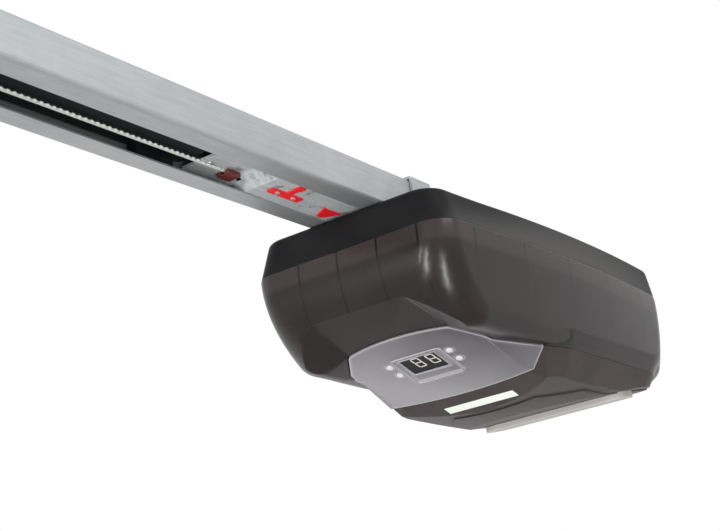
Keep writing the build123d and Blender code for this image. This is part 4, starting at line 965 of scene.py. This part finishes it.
def tongue_rivets():
    """Round rivet heads under the tongue of the station plate."""
    mesh = bpy.data.meshes.new("tongue_rivets")
    heads = bmesh.new()
    flatten = Matrix.Diagonal((1, 1, TONGUE_RIVET_HEIGHT / TONGUE_RIVET_RADIUS, 1))
    for seat in hit_from_below("station_plate", TONGUE_RIVETS):
        dome = Matrix.Translation(seat) @ flatten
        bmesh.ops.create_uvsphere(
            heads, u_segments=20, v_segments=10, radius=TONGUE_RIVET_RADIUS, matrix=dome
        )
    heads.to_mesh(mesh)
    heads.free()
    mesh.shade_smooth()
    mesh.materials.append(bright_zinc)
    add_piece("tongue_rivets", mesh, "head", "zinc_plated_steel")


def display_face():
    """Middle of the display's face, and the directions across it, down its slope and out of it."""
    joints = frame["record"]["behaviour"]["joints"]
    press = next(joint["axis"] for joint in joints if joint["name"] == "button_1_press")
    outward = -Vector(press).normalized()
    across = Vector((1, 0, 0))
    points = [vertex.co for vertex in nodes["display_module"].data.vertices]
    top = max(point.dot(outward) for point in points)
    rim = [point for point in points if point.dot(outward) > top - FACE_DEPTH]
    return sum(rim, Vector()) / len(rim), across, across.cross(outward), outward


def digit_bars():
    """Ends of the seven bars about a digit's middle: three across, then two pairs upright."""
    reach = DIGIT_WIDTH / 2 - DIGIT_STROKE / 2
    rise = DIGIT_HEIGHT / 2 - DIGIT_STROKE / 2
    level = [((-reach, y), (reach, y)) for y in (-rise, 0, rise)]
    upright = [((x, y), (x, y + rise)) for y in (-rise, 0) for x in (-reach, reach)]
    return level + upright


def bar_outline(start, end):
    """Corners of one bar, pointed at both ends."""
    first = Vector(start)
    last = Vector(end)
    step = (last - first).normalized() * (DIGIT_STROKE / 2)
    side = Vector((-step.y, step.x))
    return [first, first + step + side, last - step + side, last, last - step - side, first + step - side]


def display_digits():
    """Two plain seven-segment digits, all segments lit, on the face of the display."""
    centre, across, down, outward = display_face()
    mesh = bpy.data.meshes.new("display_digits")
    ink = bmesh.new()
    for side in (-1, 1):
        middle = DIGIT_CENTRE[0] + side * DIGIT_PITCH / 2
        for start, end in digit_bars():
            foot, head = [], []
            for point in bar_outline(start, end):
                u = point.x + DIGIT_LEAN * point.y + middle
                v = point.y + DIGIT_CENTRE[1]
                corner = centre + across * u + down * v
                foot.append(ink.verts.new(corner - outward * DIGIT_LIFT))
                head.append(ink.verts.new(corner + outward * DIGIT_LIFT))
            ink.faces.new(foot)
            ink.faces.new(head)
            for i in range(len(foot)):
                ink.faces.new((foot[i - 1], foot[i], head[i], head[i - 1]))
    bmesh.ops.recalc_face_normals(ink, faces=ink.faces)
    ink.to_mesh(mesh)
    ink.free()
    mesh.materials.append(digit_ink)
    add_piece("display_digits", mesh, "head", "acetal_white")


def label_plate():
    """A bare label plate, bent to the belly it is stuck on."""
    mesh = bpy.data.meshes.new("label_plate")
    film = bmesh.new()
    rows = []
    for row in range(LABEL_ROWS + 1):
        y = LABEL_FRONT_Y + (LABEL_REAR_Y - LABEL_FRONT_Y) * row / LABEL_ROWS
        spots = [
            (LABEL_LEFT_X + (LABEL_RIGHT_X - LABEL_LEFT_X) * column / LABEL_COLUMNS, y)
            for column in range(LABEL_COLUMNS + 1)
        ]
        seats = hit_from_below("belly_cover", spots)
        rows.append([film.verts.new(seat - Vector((0, 0, LABEL_SHEET))) for seat in seats])
    for near, far in zip(rows, rows[1:]):
        for i in range(LABEL_COLUMNS):
            film.faces.new((near[i], far[i], far[i + 1], near[i + 1]))
    back = bmesh.ops.extrude_face_region(film, geom=film.faces[:])
    sunk = [v for v in back["geom"] if isinstance(v, bmesh.types.BMVert)]
    bmesh.ops.translate(film, verts=sunk, vec=(0, 0, 2 * LABEL_SHEET))
    bmesh.ops.recalc_face_normals(film, faces=film.faces)
    film.to_mesh(mesh)
    film.free()
    mesh.materials.append(label_film)
    add_piece("label_plate", mesh, "head", "opal_polycarbonate")


def studio_paper():
    """Matt pale paper: it keeps the head's soft shadow, and turns to plain white far away."""
    material, tree, place = blank_material("pale_studio_paper")
    reach = put(tree, "ShaderNodeVectorMath", {0: place}, operation="LENGTH")
    edge = put(
        tree,
        "ShaderNodeMapRange",
        {"Value": reach.outputs["Value"], "From Min": PAPER_REACH, "From Max": WHITE_REACH},
        interpolation_type="SMOOTHSTEP",
    )
    paper = put(tree, "ShaderNodeBsdfDiffuse", {"Color": linear(PAPER)})
    glow = put(tree, "ShaderNodeEmission", {"Color": linear(WHITE), "Strength": 1.0})
    sweep = put(
        tree,
        "ShaderNodeMixShader",
        {0: edge.outputs["Result"], 1: paper.outputs[0], 2: glow.outputs[0]},
    )
    close_material(tree, sweep)
    return material


def studio_floor():
    """A round paper floor far below the hanging head."""
    mesh = bpy.data.meshes.new("studio_floor")
    disc = bmesh.new()
    bmesh.ops.create_circle(disc, cap_ends=True, segments=64, radius=FLOOR_RADIUS)
    disc.to_mesh(mesh)
    disc.free()
    mesh.transform(Matrix.Translation((0, 0, FLOOR_Z)))
    mesh.materials.append(studio_paper())
    floor = bpy.data.objects.new("studio_floor", mesh)
    bpy.context.scene.collection.objects.link(floor)


def studio_world():
    """Soft fill for surfaces, plain white for the camera, reflections and clear plastic."""
    world = bpy.data.worlds.new("studio_world")
    world.use_nodes = True
    tree = world.node_tree
    tree.nodes.clear()
    path = put(tree, "ShaderNodeLightPath")
    seen = put(
        tree,
        "ShaderNodeMath",
        {0: path.outputs["Is Camera Ray"], 1: path.outputs["Is Glossy Ray"]},
        operation="MAXIMUM",
    )
    shown = put(
        tree,
        "ShaderNodeMath",
        {0: seen.outputs[0], 1: path.outputs["Is Transmission Ray"]},
        operation="MAXIMUM",
    )
    level = put(
        tree,
        "ShaderNodeMapRange",
        {"Value": shown.outputs[0], "To Min": WORLD_FILL, "To Max": 1.0},
    )
    sky = put(
        tree,
        "ShaderNodeBackground",
        {"Color": linear(WHITE), "Strength": level.outputs["Result"]},
    )
    put(tree, "ShaderNodeOutputWorld", {"Surface": sky.outputs[0]})
    bpy.context.scene.world = world


def soft_box(name, place, aim, size, power):
    """One soft rectangular lamp, aimed at a point of the opener."""
    lamp = bpy.data.lights.new(name, "AREA")
    lamp.shape = "RECTANGLE"
    lamp.size, lamp.size_y = size
    lamp.energy = power
    box = bpy.data.objects.new(name, lamp)
    box.location = place
    box.rotation_euler = (Vector(aim) - Vector(place)).to_track_quat("-Z", "Y").to_euler()
    bpy.context.scene.collection.objects.link(box)


def studio_lamps():
    """A key from the right, and strips whose reflections draw the cheek, the chin and the nose."""
    soft_box("key_box", place=(1.7, -0.3, 1.1), aim=(0, -0.1, -0.03), size=(1.4, 1.4), power=20)
    soft_box("cheek_strip", place=(0.13, -4.2, -1.05), aim=(0.07, -0.18, -0.05), size=(0.34, 1.6), power=72)
    soft_box("chin_strip", place=(1.65, -1.39, -1.26), aim=(0.07, -0.17, -0.06), size=(0.2, 1.2), power=26)
    soft_box("nose_box", place=(-1.22, -3.96, -0.02), aim=(0.06, -0.18, -0.06), size=(0.45, 0.7), power=26)


def photo_camera():
    """The camera at the picture's own place, looking up at the head."""
    lens = bpy.data.cameras.new("photo_camera")
    lens.lens = CAMERA_LENS
    lens.sensor_width = SENSOR_WIDTH
    lens.sensor_fit = "HORIZONTAL"
    camera = bpy.data.objects.new("photo_camera", lens)
    camera.location = CAMERA_PLACE
    turn = CAMERA_AIM.to_track_quat("-Z", "Y") @ Quaternion((0, 0, 1), CAMERA_ROLL)
    camera.rotation_euler = turn.to_euler()
    bpy.context.scene.collection.objects.link(camera)
    bpy.context.scene.camera = camera


smooth_skin("base_housing", "head", "charcoal_abs")
smooth_skin("smoked_cover", "head", "smoked_polycarbonate")
smooth_skin("belly_cover", "head", "graphite_abs")
smooth_skin("control_lens", "head", "frosted_polycarbonate")
smooth_skin("light_lens", "head", "opal_polycarbonate")
for number in range(1, 5):
    smooth_skin(f"push_button_{number}", f"button_{number}", "frosted_polycarbonate")
belt_teeth()
saddle_screw_heads()
tongue_rivets()
display_digits()
label_plate()

studio_floor()
studio_world()
studio_lamps()
photo_camera()
bpy.context.scene.view_settings.view_transform = "Standard"
